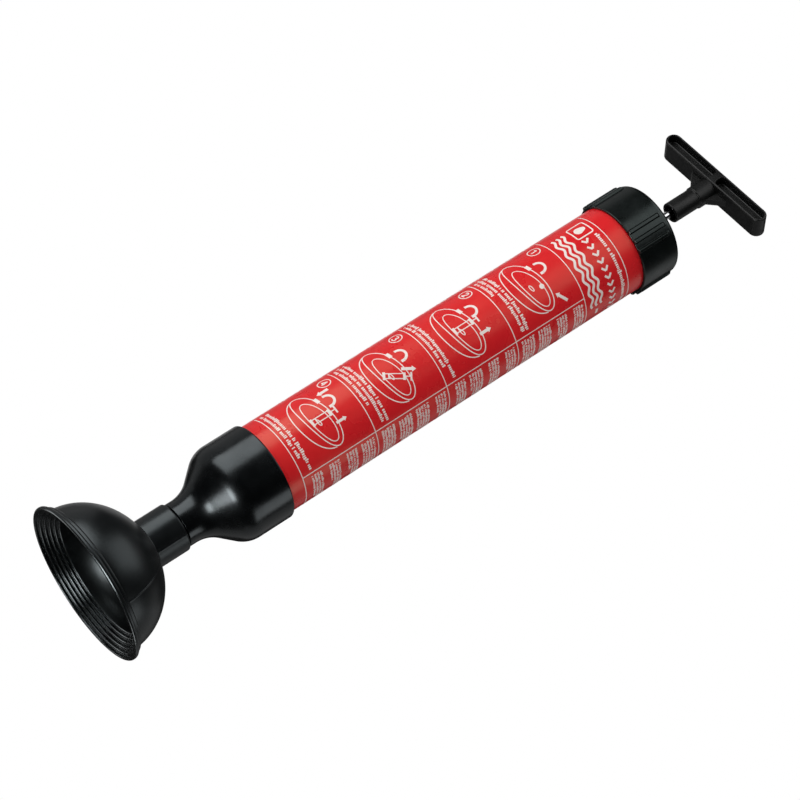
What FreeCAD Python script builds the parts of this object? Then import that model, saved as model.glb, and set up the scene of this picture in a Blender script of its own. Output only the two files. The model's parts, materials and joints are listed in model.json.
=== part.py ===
"""Manual drain pump: a hand force pump with a rubber plunger cup, a barrel and a T-handle.

The frame: +Z runs up the barrel's axis, the origin is the centre of the cup's rim, and the bar of the
T-handle lies along X. Sizes are in millimetres.
"""
import FreeCAD, Part
import math
import os
import Sketcher

# Driving dimensions: alias, value in millimetres (degrees for angles, plain counts), meaning.
DIMENSIONS = [
    ("barrel_diameter", 70.0, "outside of the printed sleeve"),
    ("printed_length", 328.8, "sleeve that shows between funnel and cap"),
    ("sleeve_wall", 0.3, "printed sleeve"),
    ("barrel_wall", 3.2, "barrel tube"),
    ("sleeve_tuck", 2.0, "sleeve hidden under the cap's mouth"),
    ("glue_gap", 0.1, "radial room between pieces that are fixed together"),
    ("running_gap", 0.05, "radial room between a shaft and its bore, or a seal and its wall"),
    ("moving_gap", 0.4, "room between thread flanks, and round pieces that pass without touching"),
    ("cup_rim_diameter", 124.0, "outer edge of the cup's rim"),
    ("cup_rim_height", 3.4, "rim bead"),
    ("cup_rim_land", 1.8, "flat ring that the cup stands on"),
    ("cup_bead_step", 2.6, "how far the second bead sits inside the rim"),
    ("cup_bead_height", 3.2, "second bead"),
    ("cup_dome_inset", 5.6, "dome foot, inside the rim's edge"),
    ("cup_dome_height", 52.2, "where the dome meets the collar"),
    ("cup_knee_radius", 42.3, "where the dome's two arcs meet"),
    ("cup_knee_height", 38.0, "height of that point"),
    ("cup_dome_low_arc", 53.3, "lower arc of the dome"),
    ("cup_dome_high_arc", 56.1, "upper arc of the dome"),
    ("cup_wall", 6.5, "dome wall at its top"),
    ("cup_step_count", 5, "sealing steps inside the mouth"),
    ("cup_step_width", 2.7, "each step, along the radius"),
    ("cup_step_height", 2.6, "each step, along the axis"),
    ("cup_inner_low_arc", 48.0, "inner dome, lower arc"),
    ("cup_inner_high_arc", 52.0, "inner dome, upper arc"),
    ("cup_inner_knee_radius", 36.0, "where the inner arcs meet"),
    ("cup_inner_knee_height", 34.2, "height of that point"),
    ("cup_collar_wall", 4.15, "collar that grips the nozzle"),
    ("cup_height", 78.0, "rim to the collar's end"),
    ("cup_edge_break", 0.8, "bevel on the collar and rim"),
    ("spigot_diameter", 29.0, "nozzle end inside the collar"),
    ("spigot_length", 28.0, "nozzle end inside the collar"),
    ("spigot_wall", 3.0, "nozzle end"),
    ("neck_step", 2.6, "shoulder that the collar's end meets"),
    ("neck_length", 6.75, "straight neck"),
    ("cone_angle", 40.8, "funnel's cone, from the axis"),
    ("cove_radius", 26.5, "hollow curve from neck to cone"),
    ("shoulder_radius", 21.2, "round shoulder from cone to socket"),
    ("funnel_wall", 3.0, "funnel's cone and socket"),
    ("seat_land", 1.3, "below the ledge that the tube stands on"),
    ("socket_depth", 30.4, "tube inside the funnel"),
    ("socket_edge", 0.7, "rounded lip of the socket"),
    ("ring_seal_section", 1.5, "cord of the ring seal"),
    ("ring_seal_height", 14.0, "ring seal above the ledge"),
    ("cap_height", 35.3, "screw cap"),
    ("cap_wall", 1.8, "at the mouth, between the ribs"),
    ("cap_roof", 3.2, "top wall"),
    ("cap_edge", 3.8, "rounded top edge"),
    ("cap_seat_width", 6.5, "ring that clamps the guide"),
    ("cap_seat_height", 1.0, "that ring below the roof"),
    ("cap_mouth_depth", 4.0, "plain mouth below the thread"),
    ("cap_turned", -53.5, "one rib group's place round the axis"),
    ("rib_height", 1.8, "grip rib, out of the cap"),
    ("rib_width", 3.6, "grip rib"),
    ("rib_root", 0.9, "grip rib, sunk in the cap's wall"),
    ("rib_slope", 0.45, "grip rib's height at its upper end"),
    ("rib_pitch", 12.3, "angle from rib to rib in a group"),
    ("rib_stop", 5.0, "rib end below the cap's top"),
    ("rib_groups", 4, "groups of three ribs"),
    ("thread_pitch", 4.0, "cap thread"),
    ("thread_room", 0.3, "cap's bore round the full tube"),
    ("thread_root", 0.3, "ridge, sunk in its wall"),
    ("thread_depth", 1.3, "ridge height"),
    ("thread_root_half", 1.2, "half the ridge's foot"),
    ("thread_crest_half", 0.5, "half the ridge's top"),
    ("male_turns", 4, "turns on the tube"),
    ("female_turns", 3, "turns in the cap"),
    ("guide_flange", 2.5, "guide's flange"),
    ("guide_skirt_wall", 2.6, "guide's skirt"),
    ("guide_skirt", 14.0, "skirt inside the tube"),
    ("guide_web", 4.0, "web between hub and skirt"),
    ("guide_hub_diameter", 19.0, "hub"),
    ("guide_hub_rise", 5.0, "hub above the cap"),
    ("guide_hub_tail", 2.0, "hub below the bush's ring"),
    ("gasket_thickness", 1.5, "flat gasket on the tube's end"),
    ("vent_diameter", 4.0, "air holes"),
    ("vent_circle", 20.0, "air holes' radius from the axis"),
    ("vent_count", 4, "air holes"),
    ("vent_overcut", 1.0, "air hole's cut beyond each face"),
    ("rod_diameter", 6.0, "piston rod"),
    ("rod_exposed", 18.2, "bare rod between hub and handle"),
    ("rod_end_bevel", 0.6, "rod's ends"),
    ("bush_wall", 2.5, "rod bush"),
    ("bush_length", 14.8, "rod bush"),
    ("bush_land", 2.5, "ledge above the bush"),
    ("bush_ring_thickness", 1.2, "ring that keeps the bush"),
    ("bush_ring_bite", 0.75, "that ring's groove"),
    ("wiper_radius", 7.0, "pocket for the rod wiper"),
    ("wiper_thickness", 3.0, "rod wiper"),
    ("wiper_lip", 0.8, "its lip"),
    ("retainer_thickness", 3.0, "ring pressed in above the wiper"),
    ("piston_gap_to_seat", 20.0, "rod's end above the tube's lower end at rest"),
    ("nut_flats", 10.0, "lock nuts, across flats"),
    ("nut_height", 6.0, "piston lock nut"),
    ("handle_nut_height", 5.0, "handle lock nut"),
    ("rod_tip", 1.5, "rod below the nut"),
    ("washer_radius", 9.0, "washers"),
    ("washer_thickness", 1.6, "washers"),
    ("plate_inset", 5.5, "plates inside the seals"),
    ("plate_thickness", 3.0, "piston plates"),
    ("seal_base", 2.5, "cup seal's web"),
    ("seal_lip_height", 8.5, "cup seal's lip beyond its web"),
    ("seal_lip_wall", 1.8, "cup seal's lip"),
    ("core_length", 12.0, "piston core"),
    ("core_groove_depth", 2.0, "groove round the core"),
    ("core_groove_width", 5.0, "that groove"),
    ("clip_thickness", 0.8, "retaining ring on the rod"),
    ("clip_bite", 0.4, "its groove"),
    ("clip_rise", 2.4, "ring beyond the rod"),
    ("clip_opening", 50.0, "gap in the ring, degrees"),
    ("bump_height", 8.0, "bump stop"),
    ("bump_wall", 5.0, "bump stop"),
    ("bar_length", 108.0, "handle bar"),
    ("bar_height", 13.0, "handle bar, along the axis"),
    ("bar_depth", 19.4, "handle bar, front to back"),
    ("bar_rim", 1.7, "rim round the pockets"),
    ("bar_web", 5.0, "web between the pockets"),
    ("bar_rib", 6.0, "rib between left and right pockets"),
    ("bar_edge", 0.8, "rounded edges of the bar"),
    ("pocket_corner", 3.0, "pocket's corners beside the middle rib"),
    ("stem_diameter", 16.3, "handle stem"),
    ("stem_length", 39.5, "handle stem below the bar"),
    ("stem_cup_diameter", 12.4, "open end round the rod and nut"),
    ("stem_cup_depth", 14.0, "open end"),
    ("stem_bore_depth", 32.0, "rod inside the stem"),
    ("stem_edge", 0.6, "stem's end"),
    ("gusset_reach", 11.4, "gusset's slope, out along the bar and down the stem"),
    ("gusset_depth", 5.6, "gusset, front to back"),
    ("boss_diameter", 17.9, "thicker stem between the gussets"),
    ("boss_length", 16.0, "that stem, below the bar"),
]


class Size:
    """A number together with the spreadsheet expression that gives it."""

    def __init__(self, value, text):
        self.value = float(value)
        self.text = text

    def _join(self, other, sign, value):
        return Size(value, "(%s %s %s)" % (self.text, sign, size_of(other).text))

    def __add__(self, other):
        return self._join(other, "+", self.value + size_of(other).value)

    def __sub__(self, other):
        return self._join(other, "-", self.value - size_of(other).value)

    def __mul__(self, other):
        return self._join(other, "*", self.value * size_of(other).value)

    def __truediv__(self, other):
        return self._join(other, "/", self.value / size_of(other).value)

    def __neg__(self):
        return Size(-self.value, "(0 - %s)" % self.text)


def size_of(number):
    """A Size as it is, or a plain number as a Size."""
    if isinstance(number, Size):
        return number
    return Size(number, repr(float(number)))


def sine(angle):
    return Size(math.sin(math.radians(angle.value)), "sin(%s)" % angle.text)


def cosine(angle):
    return Size(math.cos(math.radians(angle.value)), "cos(%s)" % angle.text)


def tangent(angle):
    return Size(math.tan(math.radians(angle.value)), "tan(%s)" % angle.text)


class Bend:
    """An arc between the two corners beside it in an outline. Its centre is left of the way, or right."""

    def __init__(self, radius, left):
        self.radius = size_of(radius)
        self.left = left


class Dimensions:
    """The spreadsheet's cells, each as a Size under its alias."""

    def __init__(self, document):
        sheet = document.addObject("Spreadsheet::Sheet", "Dimensions")
        for row, (alias, value, meaning) in enumerate(DIMENSIONS, start=1):
            sheet.set("A%d" % row, str(value))
            sheet.setAlias("A%d" % row, alias)
            sheet.set("B%d" % row, meaning)
            setattr(self, alias, Size(value, "Dimensions." + alias))


doc = FreeCAD.newDocument("DrainPump")
dim = Dimensions(doc)
doc.recompute()
NODES = []


# ---- Helpers ----------------------------------------------------------------------------------

def origin_plane(body, role):
    """The body's own origin plane with that role."""
    return next(item for item in body.Origin.OriginFeatures if item.Role == role)


def set_size(thing, name, size):
    """Bind one property to the spreadsheet."""
    thing.setExpression(name, size_of(size).text)


def pin_point(sketch, shape, end, place):
    """Fix one point of a sketch at (x, y), each bound to the spreadsheet."""
    for kind, axis, size in (("DistanceX", -2, place[0]), ("DistanceY", -1, place[1])):
        size = size_of(size)
        if abs(size.value) < 1e-9:
            sketch.addConstraint(Sketcher.Constraint("PointOnObject", shape, end, axis))
            continue
        if size.value > 0:
            index = sketch.addConstraint(Sketcher.Constraint(kind, -1, 1, shape, end, size.value))
            set_size(sketch, "Constraints[%d]" % index, size)
        else:
            index = sketch.addConstraint(Sketcher.Constraint(kind, shape, end, -1, 1, -size.value))
            set_size(sketch, "Constraints[%d]" % index, -size)


def arc_between(start, end, bend):
    """The arc from start to end with the bend's radius."""
    half = (end - start) * 0.5
    across = FreeCAD.Vector(-half.y, half.x, 0)
    across.normalize()
    reach = math.sqrt(bend.radius.value ** 2 - half.Length ** 2)
    centre = start + half + across * (reach if bend.left else -reach)
    first, last = (start, end) if bend.left else (end, start)
    angles = [math.atan2(p.y - centre.y, p.x - centre.x) for p in (first, last)]
    circle = Part.Circle(centre, FreeCAD.Vector(0, 0, 1), bend.radius.value)
    return Part.ArcOfCircle(circle, angles[0], angles[1])


def draw_loop(sketch, outline):
    """Draw one closed outline: corners (x, y) in order, with a Bend where the next side is an arc."""
    corners = [item for item in outline if not isinstance(item, Bend)]
    bends = {}
    for item in outline:
        if isinstance(item, Bend):
            bends[len(bends_before(outline, item)) - 1] = item
    points = [FreeCAD.Vector(size_of(x).value, size_of(y).value, 0) for x, y in corners]
    ends = []
    for i, point in enumerate(points):
        following = points[(i + 1) % len(points)]
        bend = bends.get(i)
        if bend is None:
            ends.append((sketch.addGeometry(Part.LineSegment(point, following), False), 1, 2))
            continue
        shape = sketch.addGeometry(arc_between(point, following, bend), False)
        ends.append((shape, 1, 2) if bend.left else (shape, 2, 1))
    for i, (shape, _, last) in enumerate(ends):
        other, first, _ = ends[(i + 1) % len(ends)]
        sketch.addConstraint(Sketcher.Constraint("Coincident", shape, last, other, first))
    for i, (shape, first, _) in enumerate(ends):
        pin_point(sketch, shape, first, corners[i])
        if i in bends:
            radius = bends[i].radius
            index = sketch.addConstraint(Sketcher.Constraint("Radius", shape, radius.value))
            set_size(sketch, "Constraints[%d]" % index, radius)


def bends_before(outline, bend):
    """The corners that come before a bend."""
    place = next(i for i, item in enumerate(outline) if item is bend)
    return [item for item in outline[:place] if not isinstance(item, Bend)]


def draw_circle(sketch, radius, centre=(0, 0)):
    """Draw one circle round (x, y)."""
    middle = FreeCAD.Vector(size_of(centre[0]).value, size_of(centre[1]).value, 0)
    circle = Part.Circle(middle, FreeCAD.Vector(0, 0, 1), radius.value)
    shape = sketch.addGeometry(circle, False)
    index = sketch.addConstraint(Sketcher.Constraint("Radius", shape, radius.value))
    set_size(sketch, "Constraints[%d]" % index, radius)
    if size_of(centre[0]).value == 0 and size_of(centre[1]).value == 0:
        sketch.addConstraint(Sketcher.Constraint("Coincident", shape, 3, -1, 1))
    else:
        pin_point(sketch, shape, 3, centre)


def new_sketch(body, name, role):
    """A sketch on one of the body's origin planes."""
    sketch = body.newObject("Sketcher::SketchObject", name)
    sketch.AttachmentSupport = [(origin_plane(body, role), "")]
    sketch.MapMode = "FlatFace"
    return sketch


def outline_sketch(body, name, role, loops):
    """A sketch of closed outlines."""
    sketch = new_sketch(body, name, role)
    for loop in loops:
        draw_loop(sketch, loop)
    return sketch


def new_body(label, seat):
    """An empty body whose origin stands on the axis at the height of its seat."""
    body = doc.addObject("PartDesign::Body", label)
    body.Label = label
    set_size(body, "Placement.Base.z", seat)
    NODES.append(body)
    return body


def revolve(body, outline, kind="Revolution", angle=360):
    """Turn an outline of (radius, height) corners about the axis, adding it or cutting it away."""
    name = "%s_%s" % (body.Label, kind.lower())
    sketch = outline_sketch(body, name + "_outline", "XZ_Plane", [outline])
    turned = body.newObject("PartDesign::" + kind, name)
    turned.Profile = sketch
    turned.ReferenceAxis = (sketch, ["V_Axis"])
    turned.Angle = angle
    return turned


def turned_piece(label, seat, outline):
    """A body made by one revolution."""
    body = new_body(label, seat)
    revolve(body, outline)
    return body


def ring_outline(inner, outer, low, high):
    """A plain ring's outline."""
    return [(inner, low), (outer, low), (outer, high), (inner, high)]


def pad(body, name, role, loops, length, both_ways):
    """Pad outlines by a length, from the plane up or half to each side."""
    feature = body.newObject("PartDesign::Pad", name)
    feature.Profile = outline_sketch(body, name + "_outline", role, loops)
    set_size(feature, "Length", length)
    if both_ways:
        feature.Midplane = True
    return feature


def add_thread(body, radius, out, first, turns):
    """Add a helical ridge on a wall of that radius, out from the axis (+1) or in towards it (-1)."""
    root = radius - dim.thread_root * out
    crest = radius + dim.thread_depth * out
    name = body.Label + "_thread"
    ridge = [(root, first - dim.thread_root_half), (radius, first - dim.thread_root_half),
             (crest, first - dim.thread_crest_half), (crest, first + dim.thread_crest_half),
             (radius, first + dim.thread_root_half), (root, first + dim.thread_root_half)]
    sketch = outline_sketch(body, name + "_outline", "XZ_Plane", [ridge])
    doc.recompute()
    helix = body.newObject("PartDesign::AdditiveHelix", name)
    helix.Profile = sketch
    helix.ReferenceAxis = (sketch, ["V_Axis"])
    helix.Mode = 0
    helix.HasBeenEdited = True
    set_size(helix, "Pitch", dim.thread_pitch)
    set_size(helix, "Height", dim.thread_pitch * turns)
    doc.recompute()
    return helix


def add_vents(body, depth):
    """Cut the ring of air holes through the body's lower side, up to a depth."""
    sketch = new_sketch(body, body.Label + "_vent_outline", "XY_Plane")
    draw_circle(sketch, dim.vent_diameter / 2, (dim.vent_circle, 0))
    hole = body.newObject("PartDesign::Pocket", body.Label + "_vent")
    hole.Profile = sketch
    hole.Reversed = True
    set_size(hole, "Length", depth)
    ring = body.newObject("PartDesign::PolarPattern", body.Label + "_vents")
    ring.Originals = [hole]
    ring.Axis = (sketch, ["N_Axis"])
    ring.Angle = 360
    ring.Occurrences = int(dim.vent_count.value)
    body.Tip = ring
    return ring


def round_edges(body, base, radius, chosen):
    """Fillet the edges of a feature that the test picks."""
    doc.recompute()
    names = ["Edge%d" % (i + 1) for i, edge in enumerate(base.Shape.Edges) if chosen(edge)]
    feature = body.newObject("PartDesign::Fillet", base.Name + "_round")
    feature.Base = (base, names)
    set_size(feature, "Radius", radius)
    body.Tip = feature
    return feature


# ---- Places and radii that several pieces share -----------------------------------------------

barrel_radius = dim.barrel_diameter / 2
tube_radius = barrel_radius - dim.sleeve_wall
tube_bore = tube_radius - dim.barrel_wall
socket_bore = tube_radius + dim.glue_gap
socket_radius = socket_bore + dim.funnel_wall
rod_radius = dim.rod_diameter / 2
rod_bore = rod_radius + dim.running_gap

spigot_radius = dim.spigot_diameter / 2
neck_radius = spigot_radius + dim.neck_step
nozzle_bore = spigot_radius - dim.spigot_wall
nozzle_bottom = dim.cup_height - dim.spigot_length
half_cone = dim.cone_angle / 2
cone_slope = tangent(dim.cone_angle)
cone_foot = dim.cup_height + dim.neck_length + dim.cove_radius * tangent(half_cone)
cone_inset = dim.funnel_wall / cosine(dim.cone_angle)
chamber_corner = cone_foot + (tube_bore + cone_inset - neck_radius) / cone_slope
chamber_round = dim.shoulder_radius - dim.funnel_wall
tube_seat = chamber_corner + chamber_round * tangent(half_cone) + dim.seat_land
socket_top = tube_seat + dim.socket_depth

cap_bottom = socket_top + dim.printed_length
cap_top = cap_bottom + dim.cap_height
roof_inside = cap_top - dim.cap_roof
flange_top = roof_inside - dim.cap_seat_height
flange_bottom = flange_top - dim.guide_flange
tube_top = flange_bottom - dim.gasket_thickness
cap_mouth = barrel_radius + dim.moving_gap
cap_radius = cap_mouth + dim.cap_wall
cap_bore = tube_radius + dim.thread_room
neck_down = cap_bore - dim.thread_depth - dim.moving_gap
guide_bottom = tube_top - dim.guide_skirt
hub_radius = dim.guide_hub_diameter / 2
hub_top = cap_top + dim.guide_hub_rise
bush_radius = rod_bore + dim.bush_wall
wiper_floor = hub_top - dim.wiper_thickness - dim.retainer_thickness
bush_top = wiper_floor - dim.bush_land
bush_bottom = bush_top - dim.bush_length

rod_bottom = tube_seat + dim.piston_gap_to_seat
nut_bottom = rod_bottom + dim.rod_tip
front_washer = nut_bottom + dim.nut_height
front_plate = front_washer + dim.washer_thickness
lower_seal = front_plate + dim.plate_thickness
core_bottom = lower_seal + dim.seal_base
upper_seal = core_bottom + dim.core_length
back_plate = upper_seal + dim.seal_base
back_washer = back_plate + dim.plate_thickness
clip_bottom = back_washer + dim.washer_thickness
bump_bottom = clip_bottom + dim.clip_thickness
stem_bottom = hub_top + dim.rod_exposed
rod_top = stem_bottom + dim.stem_bore_depth
bar_bottom = stem_bottom + dim.stem_length


# ---- Cup and nozzle ---------------------------------------------------------------------------

def make_suction_cup():
    """Rubber plunger cup: rim, second bead, dome, collar, and sealing steps inside the mouth."""
    rim = dim.cup_rim_diameter / 2
    bore = spigot_radius + dim.running_gap
    collar = bore + dim.cup_collar_wall
    bevel = dim.cup_edge_break
    bead = rim - dim.cup_bead_step
    bead_top = dim.cup_rim_height + dim.cup_bead_height
    mouth = rim - bevel - dim.cup_rim_land
    outline = [(mouth, 0), (rim - bevel, 0), (rim, bevel),
               (rim, dim.cup_rim_height - bevel), (rim - bevel, dim.cup_rim_height),
               (bead, dim.cup_rim_height), (bead, bead_top - bevel), (bead - bevel, bead_top),
               (rim - dim.cup_dome_inset, bead_top + bevel), Bend(dim.cup_dome_low_arc, True),
               (dim.cup_knee_radius, dim.cup_knee_height), Bend(dim.cup_dome_high_arc, True),
               (collar, dim.cup_dome_height), (collar, dim.cup_height - bevel),
               (collar - bevel, dim.cup_height), (bore, dim.cup_height),
               (bore, dim.cup_dome_height - dim.cup_wall + bevel),
               Bend(dim.cup_inner_high_arc, False),
               (dim.cup_inner_knee_radius, dim.cup_inner_knee_height),
               Bend(dim.cup_inner_low_arc, False)]
    steps = int(dim.cup_step_count.value)
    for step in range(steps, 0, -1):
        radius = mouth - dim.cup_step_width * step
        outline.append((radius, dim.cup_step_height * step))
        if step == steps:
            continue
        outline.insert(-1, (radius, dim.cup_step_height * (step + 1)))
    outline.append((mouth, dim.cup_step_height))
    return turned_piece("suction_cup", size_of(0), outline)


def cone_bend(foot_radius, line_shift, radius, upper):
    """The two ends of an arc that joins a straight wall to the cone, lower end first.

    The cone's line is line_shift inside the outer cone. The wall is a vertical line at foot_radius, below
    the cone, or above it where upper is true.
    """
    corner = cone_foot + (foot_radius + line_shift - neck_radius) / cone_slope
    reach = radius * tangent(half_cone)
    across = reach * sine(dim.cone_angle)
    along = reach * cosine(dim.cone_angle)
    if upper:
        return [(foot_radius - across, corner - along), Bend(radius, True), (foot_radius, corner + reach)]
    return [(foot_radius, corner - reach), Bend(radius, False), (foot_radius + across, corner + along)]


def reversed_bend(bend):
    """The same arc, walked the other way."""
    return [bend[2], Bend(bend[1].radius, not bend[1].left), bend[0]]


def make_nozzle_funnel():
    """Nozzle: spigot in the cup, neck, cone, and the socket that the barrel stands in."""
    groove_low = tube_seat + dim.ring_seal_height - dim.ring_seal_section / 2 - dim.glue_gap
    groove_high = groove_low + dim.ring_seal_section + dim.glue_gap * 2
    groove = socket_bore + dim.ring_seal_section + dim.glue_gap
    lip = dim.socket_edge
    outline = [(nozzle_bore, nozzle_bottom), (spigot_radius, nozzle_bottom),
               (spigot_radius, dim.cup_height), (neck_radius - dim.cup_edge_break, dim.cup_height),
               (neck_radius, dim.cup_height + dim.cup_edge_break)]
    outline += cone_bend(neck_radius, size_of(0), dim.cove_radius, False)
    outline += cone_bend(socket_radius, size_of(0), dim.shoulder_radius, True)
    outline += [(socket_radius, socket_top - lip), Bend(lip, True), (socket_radius - lip, socket_top),
                (socket_bore, socket_top), (socket_bore, groove_high), (groove, groove_high),
                (groove, groove_low), (socket_bore, groove_low), (socket_bore, tube_seat),
                (tube_bore, tube_seat)]
    outline += reversed_bend(cone_bend(tube_bore, cone_inset, chamber_round, True))
    outline += reversed_bend(cone_bend(nozzle_bore, cone_inset, dim.cove_radius, False))
    return turned_piece("nozzle_funnel", size_of(0), outline)


def make_funnel_seal_ring():
    """Ring seal in the socket's groove, round the tube."""
    ring = doc.addObject("Part::Torus", "funnel_seal_ring")
    ring.Label = "funnel_seal_ring"
    section = dim.ring_seal_section / 2
    set_size(ring, "Radius1", tube_radius + dim.glue_gap + section)
    set_size(ring, "Radius2", section)
    set_size(ring, "Placement.Base.z", tube_seat + dim.ring_seal_height)
    NODES.append(ring)


# ---- Barrel -----------------------------------------------------------------------------------

def make_barrel_tube():
    """Tube with a turned-down, threaded upper end."""
    length = tube_top - tube_seat
    shoulder = cap_bottom + dim.cap_mouth_depth - tube_seat
    outline = [(tube_bore, 0), (tube_radius, 0), (tube_radius, shoulder), (neck_down, shoulder),
               (neck_down, length), (tube_bore, length)]
    body = turned_piece("barrel_tube", tube_seat, outline)
    add_thread(body, neck_down, 1, male_start() - tube_seat, dim.male_turns)


def male_start():
    """Height of the male thread's first turn."""
    return cap_bottom + dim.cap_mouth_depth + dim.thread_root_half + dim.moving_gap * 2


def make_label_sleeve():
    """Thin printed sleeve round the tube."""
    inner = tube_radius
    outline = ring_outline(inner, barrel_radius, 0, dim.printed_length + dim.sleeve_tuck)
    turned_piece("label_sleeve", socket_top, outline)


# ---- Cap and rod guide ------------------------------------------------------------------------

def make_screw_cap():
    """Screw cap: ring thread inside, rounded top edge, grip ribs in groups of three, air holes."""
    hole = hub_radius + dim.moving_gap
    height = dim.cap_height
    edge = dim.cap_edge
    roof = height - dim.cap_roof
    seat_inner = cap_bore - dim.cap_seat_width
    outline = [(cap_mouth, 0), (cap_radius, 0), (cap_radius, height - edge), Bend(edge, True),
               (cap_radius - edge, height), (hole, height), (hole, roof), (seat_inner, roof),
               (seat_inner, roof - dim.cap_seat_height), (cap_bore, roof - dim.cap_seat_height),
               (cap_bore, dim.cap_mouth_depth), (cap_mouth, dim.cap_mouth_depth)]
    body = turned_piece("screw_cap", cap_bottom, outline)
    lead = dim.thread_pitch * dim.cap_turned / 360
    start = male_start() - cap_bottom + dim.thread_pitch / 2 + lead
    add_thread(body, cap_bore, -1, start, dim.female_turns)
    ribs = [make_grip_rib(body, place) for place in (-1, 0, 1)]
    groups = body.newObject("PartDesign::PolarPattern", "rib_groups")
    groups.Originals = ribs
    groups.Axis = (origin_axis(body, "Z_Axis"), [""])
    groups.Angle = 360
    groups.Occurrences = int(dim.rib_groups.value)
    body.Tip = groups
    doc.recompute()
    add_vents_above(body, roof)
    body.Placement.Rotation = FreeCAD.Rotation(FreeCAD.Vector(0, 0, 1), dim.cap_turned.value)
    set_size(body, "Placement.Rotation.Angle", dim.cap_turned)


def origin_axis(body, role):
    """The body's own origin axis with that role."""
    return next(item for item in body.Origin.OriginFeatures if item.Role == role)


def make_grip_rib(body, place):
    """One grip rib, turned about the axis by its place in the group."""
    name = "rib_%s" % ("before", "middle", "after")[place + 1]
    foot = cap_radius - dim.rib_root
    top = dim.cap_height - dim.rib_stop
    outer = cap_radius + dim.rib_height
    outline = [(foot, 0), (outer, 0), (outer, top - dim.rib_height), (cap_radius + dim.rib_slope, top),
               (foot, top)]
    feature = pad(body, name, "XZ_Plane", [outline], dim.rib_width, True)
    sketch = feature.Profile[0]
    turn = dim.rib_pitch * place
    sketch.AttachmentOffset = FreeCAD.Placement(
        FreeCAD.Vector(0, 0, 0), FreeCAD.Rotation(FreeCAD.Vector(0, 1, 0), turn.value))
    return feature


def add_vents_above(body, floor):
    """Air holes through the roof, from a plane at its underside."""
    sketch = new_sketch(body, "roof_vent_outline", "XY_Plane")
    set_size(sketch, "AttachmentOffset.Base.z", floor - dim.vent_overcut)
    draw_circle(sketch, dim.vent_diameter / 2, (dim.vent_circle, 0))
    hole = body.newObject("PartDesign::Pocket", "roof_vent")
    hole.Profile = sketch
    hole.Reversed = True
    set_size(hole, "Length", dim.cap_roof + dim.vent_overcut * 2)
    ring = body.newObject("PartDesign::PolarPattern", "roof_vents")
    ring.Originals = [hole]
    ring.Axis = (origin_axis(body, "Z_Axis"), [""])
    ring.Angle = 360
    ring.Occurrences = int(dim.vent_count.value)
    body.Tip = ring


def make_rod_guide():
    """Guide that closes the tube: flange, skirt, web and a hub that holds bush and wiper."""
    base = guide_bottom
    skirt = tube_bore - dim.running_gap
    skirt_inner = skirt - dim.guide_skirt_wall
    flange = neck_down
    web = flange_top - base - dim.guide_web
    bush_bore = bush_radius + dim.running_gap
    groove = bush_bore + dim.bush_ring_bite
    land = rod_radius + dim.moving_gap
    ring_top = bush_bottom - base
    ring_low = ring_top - dim.bush_ring_thickness
    tail = ring_low - dim.guide_hub_tail
    outline = [(bush_bore, tail), (hub_radius, tail),
               (hub_radius, web), (skirt_inner, web), (skirt_inner, 0), (skirt, 0),
               (skirt, flange_bottom - base), (flange, flange_bottom - base),
               (flange, flange_top - base), (hub_radius, flange_top - base),
               (hub_radius, hub_top - base), (dim.wiper_radius, hub_top - base),
               (dim.wiper_radius, wiper_floor - base), (land, wiper_floor - base),
               (land, bush_top - base), (bush_bore, bush_top - base), (bush_bore, ring_top),
               (groove, ring_top), (groove, ring_low), (bush_bore, ring_low)]
    body = turned_piece("rod_guide", base, outline)
    doc.recompute()
    add_vents(body, flange_top - base + dim.vent_overcut)


def make_guide_gasket():
    """Flat gasket between the tube's end and the guide's flange."""
    outline = ring_outline(tube_bore + dim.glue_gap, neck_down, 0, dim.gasket_thickness)
    turned_piece("guide_gasket", tube_top, outline)


def make_rod_bush():
    """Bush that turns in the hub with the rod sliding in it."""
    turned_piece("rod_bush", bush_bottom, ring_outline(rod_bore, bush_radius, 0, dim.bush_length))


def make_bush_ring():
    """Spring ring in the hub's groove, under the bush."""
    outer = bush_radius + dim.bush_ring_bite
    seat = bush_bottom - dim.bush_ring_thickness
    inner = rod_radius + dim.moving_gap * 2
    turned_piece("bush_retaining_ring", seat, ring_outline(inner, outer, 0, dim.bush_ring_thickness))


def make_wiper_seal():
    """Rubber wiper round the rod, with a lip that leans on it."""
    outer = dim.wiper_radius - dim.running_gap
    high = dim.wiper_thickness
    relief = rod_bore + dim.wiper_lip
    outline = [(relief, 0), (outer, 0), (outer, high), (rod_bore, high),
               (rod_bore, high - dim.wiper_lip), (relief, high - dim.wiper_lip * 2)]
    turned_piece("rod_wiper_seal", wiper_floor, outline)


def make_wiper_retainer():
    """Ring pressed in the hub above the wiper."""
    outer = dim.wiper_radius - dim.running_gap
    inner = rod_radius + dim.moving_gap
    seat = wiper_floor + dim.wiper_thickness
    turned_piece("wiper_retainer", seat, ring_outline(inner, outer, 0, dim.retainer_thickness))


# ---- Rod, piston and handle -------------------------------------------------------------------

def make_piston_rod():
    """Steel rod with bevelled ends and a groove for the piston's retaining ring."""
    length = rod_top - rod_bottom
    bevel = dim.rod_end_bevel
    groove_low = clip_bottom - rod_bottom
    groove_high = groove_low + dim.clip_thickness
    groove = rod_radius - dim.clip_bite
    outline = [(0, 0), (rod_radius - bevel, 0), (rod_radius, bevel), (rod_radius, groove_low),
               (groove, groove_low), (groove, groove_high), (rod_radius, groove_high),
               (rod_radius, length - bevel), (rod_radius - bevel, length), (0, length)]
    turned_piece("piston_rod", rod_bottom, outline)


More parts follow.
